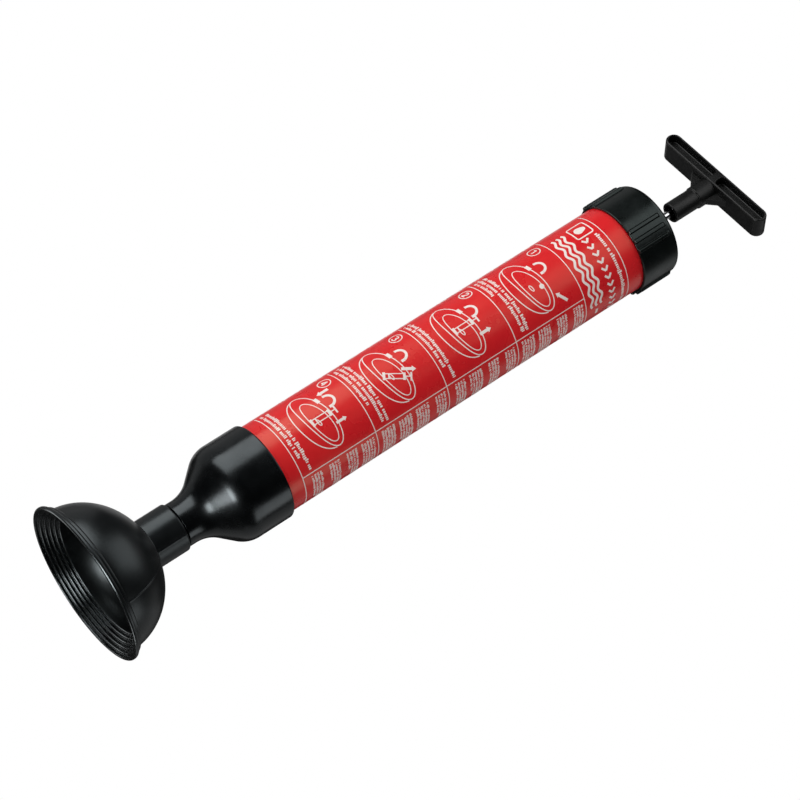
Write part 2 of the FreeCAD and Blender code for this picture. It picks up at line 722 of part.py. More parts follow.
def make_lock_nut(label, seat, height):
    """Hexagon lock nut on the rod's thread."""
    body = new_body(label, seat)
    corner = dim.nut_flats / (cosine(size_of(30)) * 2)
    corners = [(corner * math.cos(math.radians(60 * k)), corner * math.sin(math.radians(60 * k)))
               for k in range(6)]
    feature = pad(body, label + "_hexagon", "XY_Plane", [corners], height, False)
    draw_circle(feature.Profile[0], rod_bore)


def make_washer(label, seat):
    """Flat washer on the rod."""
    turned_piece(label, seat, ring_outline(rod_bore, dim.washer_radius, 0, dim.washer_thickness))


def make_plate(label, seat):
    """Stiff plate that backs a cup seal."""
    outer = tube_bore - dim.plate_inset
    turned_piece(label, seat, ring_outline(rod_bore, outer, 0, dim.plate_thickness))


def make_cup_seal(label, seat, up):
    """Cup seal: a flat web with a lip against the tube, up or down."""
    outer = tube_bore - dim.running_gap
    inner = outer - dim.seal_lip_wall
    tip = outer - dim.seal_lip_wall / 2
    web = dim.seal_base
    reach = dim.seal_lip_height
    if up:
        outline = [(rod_bore, 0), (outer, 0), (outer, web + reach), (tip, web + reach), (inner, web),
                   (rod_bore, web)]
    else:
        outline = [(rod_bore, 0), (inner, 0), (tip, -reach), (outer, -reach), (outer, web),
                   (rod_bore, web)]
    turned_piece(label, seat, outline)


def make_piston_core():
    """Core between the two seals, with a groove round its waist."""
    outer = tube_bore - dim.moving_gap
    waist = outer - dim.core_groove_depth
    low = (dim.core_length - dim.core_groove_width) / 2
    high = low + dim.core_groove_width
    outline = [(rod_bore, 0), (outer, 0), (outer, low), (waist, low), (waist, high), (outer, high),
               (outer, dim.core_length), (rod_bore, dim.core_length)]
    turned_piece("piston_core", core_bottom, outline)


def make_retaining_clip():
    """Open ring in the rod's groove, above the piston."""
    body = new_body("piston_retaining_ring", clip_bottom)
    inner = rod_radius - dim.clip_bite + dim.running_gap
    outline = ring_outline(inner, rod_radius + dim.clip_rise, 0, dim.clip_thickness)
    ring = revolve(body, outline)
    set_size(ring, "Angle", size_of(360) - dim.clip_opening)


def make_bump_stop():
    """Rubber ring that meets the guide at the top of the stroke."""
    outline = ring_outline(rod_bore, rod_bore + dim.bump_wall, 0, dim.bump_height)
    turned_piece("bump_stop", bump_bottom, outline)


def stadium(half_length, half_height, middle):
    """A bar's outline with round ends, in (x, z)."""
    straight = half_length - half_height
    low = middle - half_height
    high = middle + half_height
    return [(-straight, low), (straight, low), Bend(half_height, True), (half_length, middle),
            Bend(half_height, True), (straight, high), (-straight, high), Bend(half_height, True),
            (-half_length, middle), Bend(half_height, True)]


def bar_pocket(side, middle):
    """One pocket's outline beside the middle rib, with a round outer end and rounded inner corners."""
    half = dim.bar_height / 2 - dim.bar_rim
    inner = dim.bar_rib / 2
    outer = dim.bar_length / 2 - dim.bar_height / 2
    end = dim.bar_length / 2 - dim.bar_rim
    low = middle - half
    high = middle + half
    corner = dim.pocket_corner
    near = inner + corner
    if side > 0:
        return [(near, low), (outer, low), Bend(half, True), (end, middle), Bend(half, True),
                (outer, high), (near, high), Bend(corner, True), (inner, high - corner),
                (inner, low + corner), Bend(corner, True)]
    return [(-near, high), (-outer, high), Bend(half, True), (-end, middle), Bend(half, True),
            (-outer, low), (-near, low), Bend(corner, True), (-inner, low + corner),
            (-inner, high - corner), Bend(corner, True)]


def make_t_handle():
    """T-handle: pocketed bar, gusset, boss and hollow stem."""
    body = new_body("t_handle", stem_bottom)
    middle = dim.stem_length + dim.bar_height / 2
    rim = stadium(dim.bar_length / 2, dim.bar_height / 2, middle)
    frame = [rim, bar_pocket(1, middle), bar_pocket(-1, middle)]
    bar = pad(body, "bar_frame", "XZ_Plane", frame, dim.bar_depth, True)
    half_depth = dim.bar_depth.value / 2
    reach = dim.bar_height.value / 2
    straight = dim.bar_length.value / 2 - reach

    def on_outer_rim(edge):
        spot = edge.valueAt((edge.FirstParameter + edge.LastParameter) / 2)
        if abs(abs(spot.y) - half_depth) > 1e-4:
            return False
        beyond = max(abs(spot.x) - straight, 0)
        return abs(math.hypot(beyond, spot.z - middle.value) - reach) < 1e-3

    round_edges(body, bar, dim.bar_edge, on_outer_rim)
    pad(body, "bar_web", "XZ_Plane", [stadium(dim.bar_length / 2 - dim.bar_rim / 2,
                                              dim.bar_height / 2 - dim.bar_rim / 2, middle)],
        dim.bar_web, True)
    stem = dim.stem_diameter / 2
    boss = dim.boss_diameter / 2
    low = dim.stem_length - dim.gusset_reach
    out = stem + dim.gusset_reach
    into_bar = dim.stem_length + dim.bar_rim / 2
    gusset = [(-stem, low), (stem, low), (out, dim.stem_length), (out, into_bar), (-out, into_bar),
              (-out, dim.stem_length)]
    pad(body, "gusset", "XZ_Plane", [gusset], dim.gusset_depth, True)
    edge = dim.stem_edge
    step = dim.stem_length - dim.boss_length
    revolve(body, [(0, 0), (stem - edge, 0), (stem, edge), (stem, step), (boss, step + boss - stem),
                   (boss, into_bar), (0, into_bar)])
    doc.recompute()
    whole = body.Shape.Volume
    nut_room = dim.stem_cup_diameter / 2
    revolve(body, [(0, 0), (nut_room, 0), (nut_room, dim.stem_cup_depth),
                   (rod_bore, dim.stem_cup_depth), (rod_bore, dim.stem_bore_depth),
                   (0, dim.stem_bore_depth)], kind="Groove")
    doc.recompute()
    if body.Shape.Volume >= whole:
        raise RuntimeError("the stem's bore cuts nothing")


# ---- Build, test and write --------------------------------------------------------------------

def check_document():
    """Stop if any object failed or any node's shape is missing, broken or not solid."""
    for item in doc.Objects:
        if "Invalid" in item.State or "Error" in item.State:
            raise RuntimeError("%s failed: %s" % (item.Name, item.State))
    for node in NODES:
        shape = node.Shape
        if shape.isNull() or not shape.isValid() or len(shape.Solids) != 1:
            raise RuntimeError("%s has no sound solid" % node.Label)


def write_parts():
    """Write each node's shape to its own file."""
    os.makedirs("parts", exist_ok=True)
    for node in NODES:
        node.Shape.exportStep("parts/%s.step" % node.Label)
        print("%-24s %10.0f mm3" % (node.Label, node.Shape.Volume))


make_suction_cup()
make_nozzle_funnel()
make_funnel_seal_ring()
make_barrel_tube()
make_label_sleeve()
make_screw_cap()
make_rod_guide()
make_guide_gasket()
make_rod_bush()
make_bush_ring()
make_wiper_seal()
make_wiper_retainer()
make_piston_rod()
make_lock_nut("piston_lock_nut", nut_bottom, dim.nut_height)
make_washer("front_washer", front_washer)
make_plate("front_plate", front_plate)
make_cup_seal("lower_cup_seal", lower_seal, False)
make_piston_core()
make_cup_seal("upper_cup_seal", upper_seal, True)
make_plate("back_plate", back_plate)
make_washer("back_washer", back_washer)
make_retaining_clip()
make_bump_stop()
make_t_handle()
make_lock_nut("handle_lock_nut", stem_bottom + dim.stem_cup_depth - dim.handle_nut_height,
              dim.handle_nut_height)
doc.recompute()
check_document()
write_parts()
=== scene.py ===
"""Looks of a manual drain pump: cup, nozzle, printed barrel, screw cap, rod and T-handle.

Lengths inside the classes are in millimetres and are turned into metres when a mesh is written.
The pump stands on its cup: +Z runs up the barrel's axis and the handle's bar lies along X.
"""
import json
import logging
import math
from dataclasses import dataclass, field
from enum import Enum
from functools import cache

import bmesh
import bpy
import numpy as np
from mathutils import Matrix, Vector


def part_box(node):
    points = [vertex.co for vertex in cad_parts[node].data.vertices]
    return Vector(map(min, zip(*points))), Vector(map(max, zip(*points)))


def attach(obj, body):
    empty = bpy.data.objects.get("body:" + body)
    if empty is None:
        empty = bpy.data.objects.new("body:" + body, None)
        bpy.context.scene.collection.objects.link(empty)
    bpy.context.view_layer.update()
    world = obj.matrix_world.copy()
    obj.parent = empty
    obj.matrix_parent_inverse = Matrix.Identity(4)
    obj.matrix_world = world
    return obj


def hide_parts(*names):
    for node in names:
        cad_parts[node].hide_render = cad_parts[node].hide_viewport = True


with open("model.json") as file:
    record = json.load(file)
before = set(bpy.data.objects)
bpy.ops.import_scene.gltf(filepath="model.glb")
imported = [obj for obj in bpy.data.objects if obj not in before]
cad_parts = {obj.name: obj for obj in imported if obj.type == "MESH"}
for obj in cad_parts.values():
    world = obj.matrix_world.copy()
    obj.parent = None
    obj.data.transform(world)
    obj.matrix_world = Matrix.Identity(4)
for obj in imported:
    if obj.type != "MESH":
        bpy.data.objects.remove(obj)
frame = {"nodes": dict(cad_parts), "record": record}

Array = np.ndarray
Piece = bpy.types.Object
Point = tuple[float, float]
Socket = bpy.types.NodeSocket
Triple = tuple[float, float, float]

MM = 0.001
TURN = 2 * math.pi
FRONT = math.radians(-60.0)     # angle round the axis of the middle of the printed front
MERGE = 0.002                   # points of a turned piece nearer than this become one
LINE_STEP = 1.6                 # longest stretch between two points of a drawn line
BAR_STEP = 1.2                  # the same for a thick bar
LOG = logging.getLogger("drain_pump")


# ---- Reading the frame ---------------------------------------------------------------------------

def low(node: str) -> float:
    """Height of a CAD node's foot, in millimetres."""
    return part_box(node)[0].z / MM


def high(node: str) -> float:
    """Height of a CAD node's top, in millimetres."""
    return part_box(node)[1].z / MM


def reach(node: str) -> float:
    """Half of a CAD node's width along X, in millimetres: the radius of a round piece."""
    return (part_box(node)[1].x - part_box(node)[0].x) / 2 / MM


# ---- Curves --------------------------------------------------------------------------------------

def rounded(corners: list, closed: bool = True, steps: int = 6) -> Array:
    """Round an outline's corners.

    Each corner becomes an arc: the point where the two bisected sides meet, plus the radius times
    the cosine and sine of evenly spaced angles between the two sides' normals. A guard point a
    little before and after each arc keeps the flat stretches flat when they are shaded.

    Args:
        corners: The corners in order: x, y and, for one that is rounded, its radius.
        closed: Whether the last corner joins the first.
        steps: Points on each arc.

    Returns:
        The outline's points, one row each.
    """
    places = np.array([corner[:2] for corner in corners])
    pieces: list[Array] = []
    for i, corner in enumerate(corners):
        here = places[i]
        if len(corner) < 3 or (not closed and i in (0, len(corners) - 1)):
            pieces.append(here[None])
            continue
        radius = corner[2]
        back = places[i - 1] - here
        ahead = places[(i + 1) % len(corners)] - here
        back /= np.linalg.norm(back)
        ahead /= np.linalg.norm(ahead)
        half = math.acos(float(np.clip(back @ ahead, -1, 1))) / 2
        trim = radius / math.tan(half)
        middle = back + ahead
        centre = here + middle / np.linalg.norm(middle) * radius / math.sin(half)
        first = here + back * trim - centre
        last = here + ahead * trim - centre
        start = math.atan2(first[1], first[0])
        sweep = math.atan2(first[0] * last[1] - first[1] * last[0], first @ last)
        angles = start + sweep * np.linspace(0, 1, steps)
        bend = centre + radius * np.stack([np.cos(angles), np.sin(angles)], axis=1)
        guard = min(0.25, radius * 0.35)
        pieces.append(np.vstack([bend[0] + back * guard, bend, bend[-1] + ahead * guard]))
    return np.vstack(pieces)


def inner_run(corners: list, steps: int = 7) -> Array:
    """Round an open outline's corners and leave out its first and last point."""
    return rounded(corners, False, steps)[1:-1]


def arc(centre: Point, radii: Point, start: float, stop: float, count: int) -> Array:
    """Points of an ellipse: the centre plus each radius times the cosine and sine of the angle.

    Args:
        centre: The ellipse's centre.
        radii: Its half widths.
        start: First angle, in degrees.
        stop: Last angle, in degrees.
        count: Points.

    Returns:
        The points, one row each.
    """
    angles = np.radians(np.linspace(start, stop, count))
    return np.stack([centre[0] + radii[0] * np.cos(angles),
                     centre[1] + radii[1] * np.sin(angles)], axis=1)


def circle_path(centre: Point, radius: float, count: int = 40) -> Array:
    """Points of a circle."""
    return arc(centre, (radius, radius), 0, 360 * (1 - 1 / count), count)


def turned_path(path: Array, degrees: float, about: Point) -> Array:
    """A path turned in its plane about a point.

    Args:
        path: The path.
        degrees: How far it is turned, anticlockwise.
        about: The point that stays.

    Returns:
        The turned points.
    """
    angle = math.radians(degrees)
    spin = np.array([[math.cos(angle), math.sin(angle)], [-math.sin(angle), math.cos(angle)]])
    return (path - np.array(about)) @ spin + np.array(about)


def even_path(path: Array, step: float) -> Array:
    """A closed path walked in even steps, so that its long sides follow the sleeve.

    Args:
        path: The path's points.
        step: Distance between two new points.

    Returns:
        The new points.
    """
    closed = np.vstack([path, path[:1]])
    walked = np.concatenate([[0], np.cumsum(np.linalg.norm(np.diff(closed, axis=0), axis=1))])
    stops = np.linspace(0, walked[-1], int(walked[-1] / step), endpoint=False)
    return np.stack([np.interp(stops, walked, closed[:, i]) for i in (0, 1)], axis=1)


def upright(x: float, heights: Array) -> Array:
    """Points of a straight wall at one distance from the axis."""
    return np.stack([np.full(len(heights), x), heights], axis=1)


def round_angles(count: int) -> Array:
    """Evenly spaced angles of one turn."""
    return np.linspace(0, TURN, count, endpoint=False)


def smooth_rise(value: Array, start: float, stop: float) -> Array:
    """Rise from 0 at start to 1 at stop: three times the share squared less twice its cube."""
    share = np.clip((value - start) / (stop - start), 0, 1)
    return share * share * (3 - 2 * share)


# ---- Meshes --------------------------------------------------------------------------------------

def grid_faces(rows: int, columns: int, wrap_rows: bool, wrap_columns: bool) -> Array:
    """Quads of a grid whose points are numbered row by row, with either way joined to its start.

    Args:
        rows: Rows of points.
        columns: Points in a row.
        wrap_rows: Whether the last row joins the first.
        wrap_columns: Whether each row's end joins its start.

    Returns:
        Four point numbers for each face.
    """
    numbers = np.arange(rows * columns).reshape(rows, columns)
    if wrap_rows:
        numbers = np.vstack([numbers, numbers[:1]])
    if wrap_columns:
        numbers = np.hstack([numbers, numbers[:, :1]])
    corners = [numbers[:-1, :-1], numbers[:-1, 1:], numbers[1:, 1:], numbers[1:, :-1]]
    return np.stack(corners, axis=-1).reshape(-1, 4)


def new_piece(name: str, points: Array, faces: list[Array], merge: float = 0.0,
              closed: bool = True) -> Piece:
    """Make a smooth-shaded mesh object at the origin.

    Args:
        name: The piece's name.
        points: Its points in millimetres, one row each.
        faces: Arrays that number the points of each face.
        merge: Points nearer than this many millimetres become one, or 0 to leave them.
        closed: Whether the mesh is closed, so that its faces can be turned outwards.

    Returns:
        The object.
    """
    mesh = bpy.data.meshes.new(name)
    listed = [tuple(face) for part in faces for face in part.tolist()]
    mesh.from_pydata((points * MM).tolist(), [], listed)
    if closed:
        work = bmesh.new()
        work.from_mesh(mesh)
        if merge > 0:
            bmesh.ops.remove_doubles(work, verts=work.verts, dist=merge * MM)
            bmesh.ops.dissolve_degenerate(work, edges=work.edges, dist=merge * MM * 0.1)
        bmesh.ops.recalc_face_normals(work, faces=work.faces)
        work.to_mesh(mesh)
        work.free()
    mesh.shade_smooth()
    mesh.update()
    piece = bpy.data.objects.new(name, mesh)
    bpy.context.scene.collection.objects.link(piece)
    return piece


def lathe(name: str, outline: Array, turns: Array | int, radii: Array | None = None,
          closed: bool = True) -> Piece:
    """Turn an outline of (radius, height) about the axis.

    A point is the radius times the cosine and sine of the angle, and the height. An outline that
    touches the axis closes there in a pole.

    Args:
        name: The piece's name.
        outline: Its outline.
        turns: The angles, or how many evenly spaced ones.
        radii: A radius for each outline point and angle, if it changes round the axis.
        closed: Whether the outline's end joins its start.

    Returns:
        The turned piece.
    """
    angles = round_angles(turns) if isinstance(turns, int) else turns
    radii = outline[:, :1] if radii is None else radii
    points = np.stack([radii * np.cos(angles), radii * np.sin(angles),
                       outline[:, 1:] + 0 * angles], axis=-1)
    faces = grid_faces(len(outline), len(angles), closed, True)
    return new_piece(name, points.reshape(-1, 3), [faces], MERGE)


def combine(piece: Piece, other: Piece, way: str) -> None:
    """Join another closed mesh to a piece (UNION) or cut it away (DIFFERENCE), and use it up.

    Args:
        piece: The piece that stays.
        other: The mesh that is used up.
        way: UNION or DIFFERENCE.
    """
    change = piece.modifiers.new("change", "BOOLEAN")
    change.operation, change.solver, change.object = way, "EXACT", other
    graph = bpy.context.evaluated_depsgraph_get()
    result = bpy.data.meshes.new_from_object(piece.evaluated_get(graph))
    piece.modifiers.clear()
    old = piece.data
    piece.data = result
    result.name = old.name
    bpy.data.meshes.remove(old)
    bpy.data.objects.remove(other)


def drill_four(piece: Piece, outline: Array, sides: int, circle: float, first: float) -> None:
    """Cut four air holes.

    Args:
        piece: The piece they are cut from.
        outline: Outline of the round cutter.
        sides: Its sides.
        circle: Radius of the circle that the holes stand on.
        first: Angle of the first hole.
    """
    for hole in range(4):
        turn = first + hole * math.pi / 2
        cutter = lathe("air_hole", outline, sides)
        shift = Vector((circle * math.cos(turn), circle * math.sin(turn), 0)) * MM
        cutter.data.transform(Matrix.Translation(shift))
        combine(piece, cutter, "DIFFERENCE")


def shade_by_angle(piece: Piece, degrees: float) -> None:
    """Shade smoothly except across edges sharper than an angle."""
    piece.data.shade_smooth()
    piece.data.set_sharp_from_angle(angle=math.radians(degrees))


def read_points(piece: Piece) -> Array:
    """A piece's points in millimetres, one row each.

    Args:
        piece: The piece.

    Returns:
        Its points.
    """
    flat = np.zeros(len(piece.data.vertices) * 3)
    piece.data.vertices.foreach_get("co", flat)
    return flat.reshape(-1, 3) / MM


def write_points(piece: Piece, points: Array) -> None:
    """Move a piece's points to new places, in millimetres."""
    piece.data.vertices.foreach_set("co", (points * MM).ravel())
    piece.data.update()


# ---- Shader node groups --------------------------------------------------------------------------

class Tree:
    """A node tree, with short ways to add a node and to feed an input."""

    def __init__(self, tree: bpy.types.NodeTree) -> None:
        """Keep the tree."""
        self.tree = tree

    def add(self, kind: str, **values: object) -> bpy.types.Node:
        """Add a node and set its properties by name.

        Args:
            kind: The node's type.
            values: Its properties by name.

        Returns:
            The node.
        """
        node = self.tree.nodes.new(kind)
        for name, value in values.items():
            setattr(node, name, value)
        return node

    def feed(self, item: object, target: Socket) -> None:
        """Join a socket to an input, or set the input to a constant.

        Args:
            item: The socket or the constant.
            target: The input.
        """
        if isinstance(item, Socket):
            self.tree.links.new(item, target)
        else:
            target.default_value = item

    def maths(self, operation: str, first: object, second: object) -> Socket:
        """A Math node on two sockets or numbers, and its output.

        Args:
            operation: What the node works out.
            first: First socket or number.
            second: Second socket or number.

        Returns:
            The node's output.
        """
        node = self.add("ShaderNodeMath", operation=operation)
        self.feed(first, node.inputs[0])
        self.feed(second, node.inputs[1])
        return node.outputs[0]

    def noise(self, scale: object, detail: float, along: float = 1.0) -> Socket:
        """Noise on Object coordinates whose Z is scaled by a number, and its 0 to 1 output.

        Args:
            scale: Scale of the noise, as a socket or a number.
            detail: Its detail.
            along: Scale of Z.

        Returns:
            The noise.
        """
        mapping = self.add("ShaderNodeMapping")
        mapping.inputs["Scale"].default_value = (1, 1, along)
        self.feed(self.add("ShaderNodeTexCoord").outputs["Object"], mapping.inputs["Vector"])
        texture = self.add("ShaderNodeTexNoise")
        texture.inputs["Detail"].default_value = detail
        texture.inputs["Roughness"].default_value = 0.55
        self.feed(scale, texture.inputs["Scale"])
        self.feed(mapping.outputs["Vector"], texture.inputs["Vector"])
        return texture.outputs["Fac"]

    def ramp(self, value: Socket, start: float, stop: float) -> Socket:
        """Stretch a value so that start becomes 0 and stop becomes 1, held between them.

        Args:
            value: The value.
            start: What becomes 0.
            stop: What becomes 1.

        Returns:
            The stretched value.
        """
        node = self.add("ShaderNodeMapRange", clamp=True)
        node.inputs["From Min"].default_value = start
        node.inputs["From Max"].default_value = stop
        self.feed(value, node.inputs["Value"])
        return node.outputs["Result"]

    def parts(self, vector: Socket) -> bpy.types.NodeOutputs:
        """A vector's three numbers.

        Args:
            vector: The vector.

        Returns:
            Its X, Y and Z.
        """
        node = self.add("ShaderNodeSeparateXYZ")
        self.feed(vector, node.inputs["Vector"])
        return node.outputs


Masks = dict[str, Socket]


def grain(tree: Tree, given: object) -> Masks:
    """Moulded grain: two noises, the finer one two fifths as strong.

    Args:
        tree: The group's tree.
        given: The group's inputs.

    Returns:
        The group's outputs by name.
    """
    coarse = tree.noise(given["Scale"], 3.0)
    fine = tree.noise(tree.maths("MULTIPLY", given["Scale"], 3.1), 2.0)
    return {"Height": tree.maths("ADD", coarse, tree.maths("MULTIPLY", fine, 0.4))}


def wear(tree: Tree, given: object) -> Masks:
    """Edge wear: where the surface is convex, broken up by noise.

    Args:
        tree: The group's tree.
        given: The group's inputs.

    Returns:
        The group's outputs by name.
    """
    edge = tree.ramp(tree.add("ShaderNodeNewGeometry").outputs["Pointiness"], 0.56, 0.7)
    patches = tree.ramp(tree.noise(220.0, 4.0), 0.42, 0.68)
    mask = tree.maths("MULTIPLY", edge, patches)
    return {"Mask": tree.maths("MULTIPLY", mask, given["Amount"])}


def smudge(tree: Tree, given: object) -> Masks:
    """Handling marks: soft clouds of noise about the size of a fingertip."""
    return {"Mask": tree.ramp(tree.noise(given["Scale"], 5.0), 0.35, 0.7)}


def dust(tree: Tree, given: object) -> Masks:
    """Settled dust: surfaces that face up, broken up by noise.

    Args:
        tree: The group's tree.
        given: The group's inputs.

    Returns:
        The group's outputs by name.
    """
    normal = tree.parts(tree.add("ShaderNodeNewGeometry").outputs["Normal"])
    cloud = tree.ramp(tree.noise(140.0, 5.0), 0.4, 0.75)
    mask = tree.maths("MULTIPLY", tree.ramp(normal["Z"], 0.2, 1.0), cloud)
    return {"Mask": tree.maths("MULTIPLY", mask, given["Amount"])}


def drawn(tree: Tree, given: object) -> Masks:
    """Drawn lines: noise pulled out along the axis, as on rod and wire."""
    lines = tree.noise(given["Scale"], 4.0, along=0.02)
    return {"Height": lines, "Mask": tree.ramp(lines, 0.35, 0.7)}


def mouth(tree: Tree, given: object) -> Masks:
    """The cup's mouth: 1 where the height, and the radius plus the height, stay below limits.

    Args:
        tree: The group's tree.
        given: The group's inputs.

    Returns:
        The group's outputs by name.
    """
    place = tree.parts(tree.add("ShaderNodeTexCoord").outputs["Object"])
    squares = [tree.maths("MULTIPLY", place[axis], place[axis]) for axis in "XY"]
    radius = tree.maths("POWER", tree.maths("ADD", *squares), 0.5)
    slant = tree.maths("LESS_THAN", tree.maths("ADD", radius, place["Z"]), given["Slant"])
    below = tree.maths("LESS_THAN", place["Z"], given["Height"])
    return {"Mask": tree.maths("MULTIPLY", below, slant)}


class Effect(Enum):
    """The effects that finishes share: the group's name, its inputs and what builds it."""

    GRAIN = ("moulded_grain", {"Scale": 1800.0}, grain)
    WEAR = ("edge_wear", {"Amount": 1.0}, wear)
    SMUDGE = ("handling_marks", {"Scale": 55.0}, smudge)
    DUST = ("settled_dust", {"Amount": 0.3}, dust)
    DRAWN = ("drawn_lines", {"Scale": 900.0}, drawn)
    MOUTH = ("polished_mouth", {"Height": 0.0128, "Slant": 0.0627}, mouth)


def build_groups() -> None:
    """Build every shared node group once."""
    for effect in Effect:
        name, inputs, build = effect.value
        group = bpy.data.node_groups.new(name, "ShaderNodeTree")
        kind = {"socket_type": "NodeSocketFloat"}
        for label, value in inputs.items():
            group.interface.new_socket(name=label, in_out="INPUT", **kind).default_value = value
        tree = Tree(group)
        made = build(tree, tree.add("NodeGroupInput").outputs)
        for label in made:
            group.interface.new_socket(name=label, in_out="OUTPUT", **kind)
        result = tree.add("NodeGroupOutput")
        for label, socket in made.items():
            tree.feed(socket, result.inputs[label])


# ---- Finishes ------------------------------------------------------------------------------------

class Surface(Tree):
    """A material's node tree, with its Principled shader."""

    def __init__(self, name: str, **constants: object) -> None:
        """Make the material and set the shader's inputs that are the same all over it.

        Args:
            name: The material's name.
            constants: Values by the input's name, with underscores for spaces.
        """
        self.material = bpy.data.materials.new(name)
        self.material.use_nodes = True
        super().__init__(self.material.node_tree)
        self.inputs = self.tree.nodes["Principled BSDF"].inputs
        for label, value in constants.items():
            self.inputs[label.replace("_", " ")].default_value = value

    def effect(self, kind: Effect, **values: float) -> bpy.types.NodeOutputs:
        """Place a shared group with its own values.

        Args:
            kind: The effect.
            values: Values of its inputs by name.

        Returns:
            The group's outputs.
        """
        node = self.add("ShaderNodeGroup", node_tree=bpy.data.node_groups[kind.value[0]])
        for name, value in values.items():
            node.inputs[name].default_value = value
        return node.outputs

    def mix(self, share: Socket, first: object, second: object) -> Socket:
        """Mix two colours or colour sockets by a share.

        Args:
            share: Share of the second colour.
            first: First colour.
            second: Second colour.

        Returns:
            The mixed colour.
        """
        node = self.add("ShaderNodeMix", data_type="RGBA")
        self.feed(share, node.inputs[0])
        for place, item in ((6, first), (7, second)):
            self.feed(item if isinstance(item, Socket) else (*item, 1.0), node.inputs[place])
        return node.outputs[2]

    def blend(self, share: Socket, first: float, second: float) -> Socket:
        """Run from one number to another with a share."""
        return self.maths("ADD", self.maths("MULTIPLY", share, second - first), first)


@dataclass(frozen=True)
class Finish:
    """A material's look: two tones clouded by handling marks, with a skin, worn edges and dust.

    Args:
        plain: Colour between the marks.
        marked: Colour on the marks.
        rough: Roughness between and on the marks, or the drawn lines of metal.
        marks: Scale of the marks.
        grain: Scale of the moulded grain.
        depth: Depth of the grain or of the drawn lines, in metres.
        wear: Share of worn edges.
        worn: Colour of worn edges.
        dust: Share of dust.
        specular: Strength of the gloss.
        gloss: Colour of the gloss.
        sheen: Soft sheen, as on rubber.
        polish: Share of the roughness lost, and gloss gained, in the cup's mouth.
        metal: Whether it is drawn metal.
    """

    plain: Triple
    marked: Triple
    rough: Point
    marks: float = 55.0
    grain: float = 1500.0
    depth: float = 0.00001
    wear: float = 0.0
    worn: Triple = (0.05, 0.052, 0.055)
    dust: float = 0.0
    specular: float = 0.5
    gloss: Triple = (1.0, 1.0, 1.0)
    sheen: float = 0.0
    polish: Point | None = None
    metal: bool = False

    def material(self, name: str) -> bpy.types.Material:
        """Build the material.

        Args:
            name: The material's name.

        Returns:
            The material.
        """
        surface = Surface(name, Metallic=float(self.metal), Specular_IOR_Level=self.specular,
                          Specular_Tint=(*self.gloss, 1.0), Sheen_Weight=self.sheen)
        marks = surface.effect(Effect.SMUDGE, Scale=self.marks)["Mask"]
        colour = surface.mix(marks, self.plain, self.marked)
        if self.wear:
            edges = surface.effect(Effect.WEAR, Amount=self.wear)["Mask"]
            colour = surface.mix(edges, colour, self.worn)
        if self.dust:
            settled = surface.effect(Effect.DUST, Amount=self.dust)["Mask"]
            colour = surface.mix(settled, colour, (0.42, 0.40, 0.37))
        surface.feed(colour, surface.inputs["Base Color"])
        lines = surface.effect(Effect.DRAWN) if self.metal else None
        rough = surface.blend(lines["Mask"] if lines else marks, *self.rough)
        if self.polish:
            inside = surface.effect(Effect.MOUTH)["Mask"]
            lost, gained = self.polish
            rough = surface.maths("MULTIPLY", rough, surface.blend(inside, 1.0, 1.0 - lost))
            surface.feed(surface.blend(inside, self.specular, self.specular + gained),
                         surface.inputs["Specular IOR Level"])
        surface.feed(rough, surface.inputs["Roughness"])
        skin = lines or surface.effect(Effect.GRAIN, Scale=self.grain)
        bump = surface.add("ShaderNodeBump")
        bump.inputs["Distance"].default_value = self.depth
        surface.feed(skin["Height"], bump.inputs["Height"])
        surface.feed(bump.outputs["Normal"], surface.inputs["Normal"])
        return surface.material


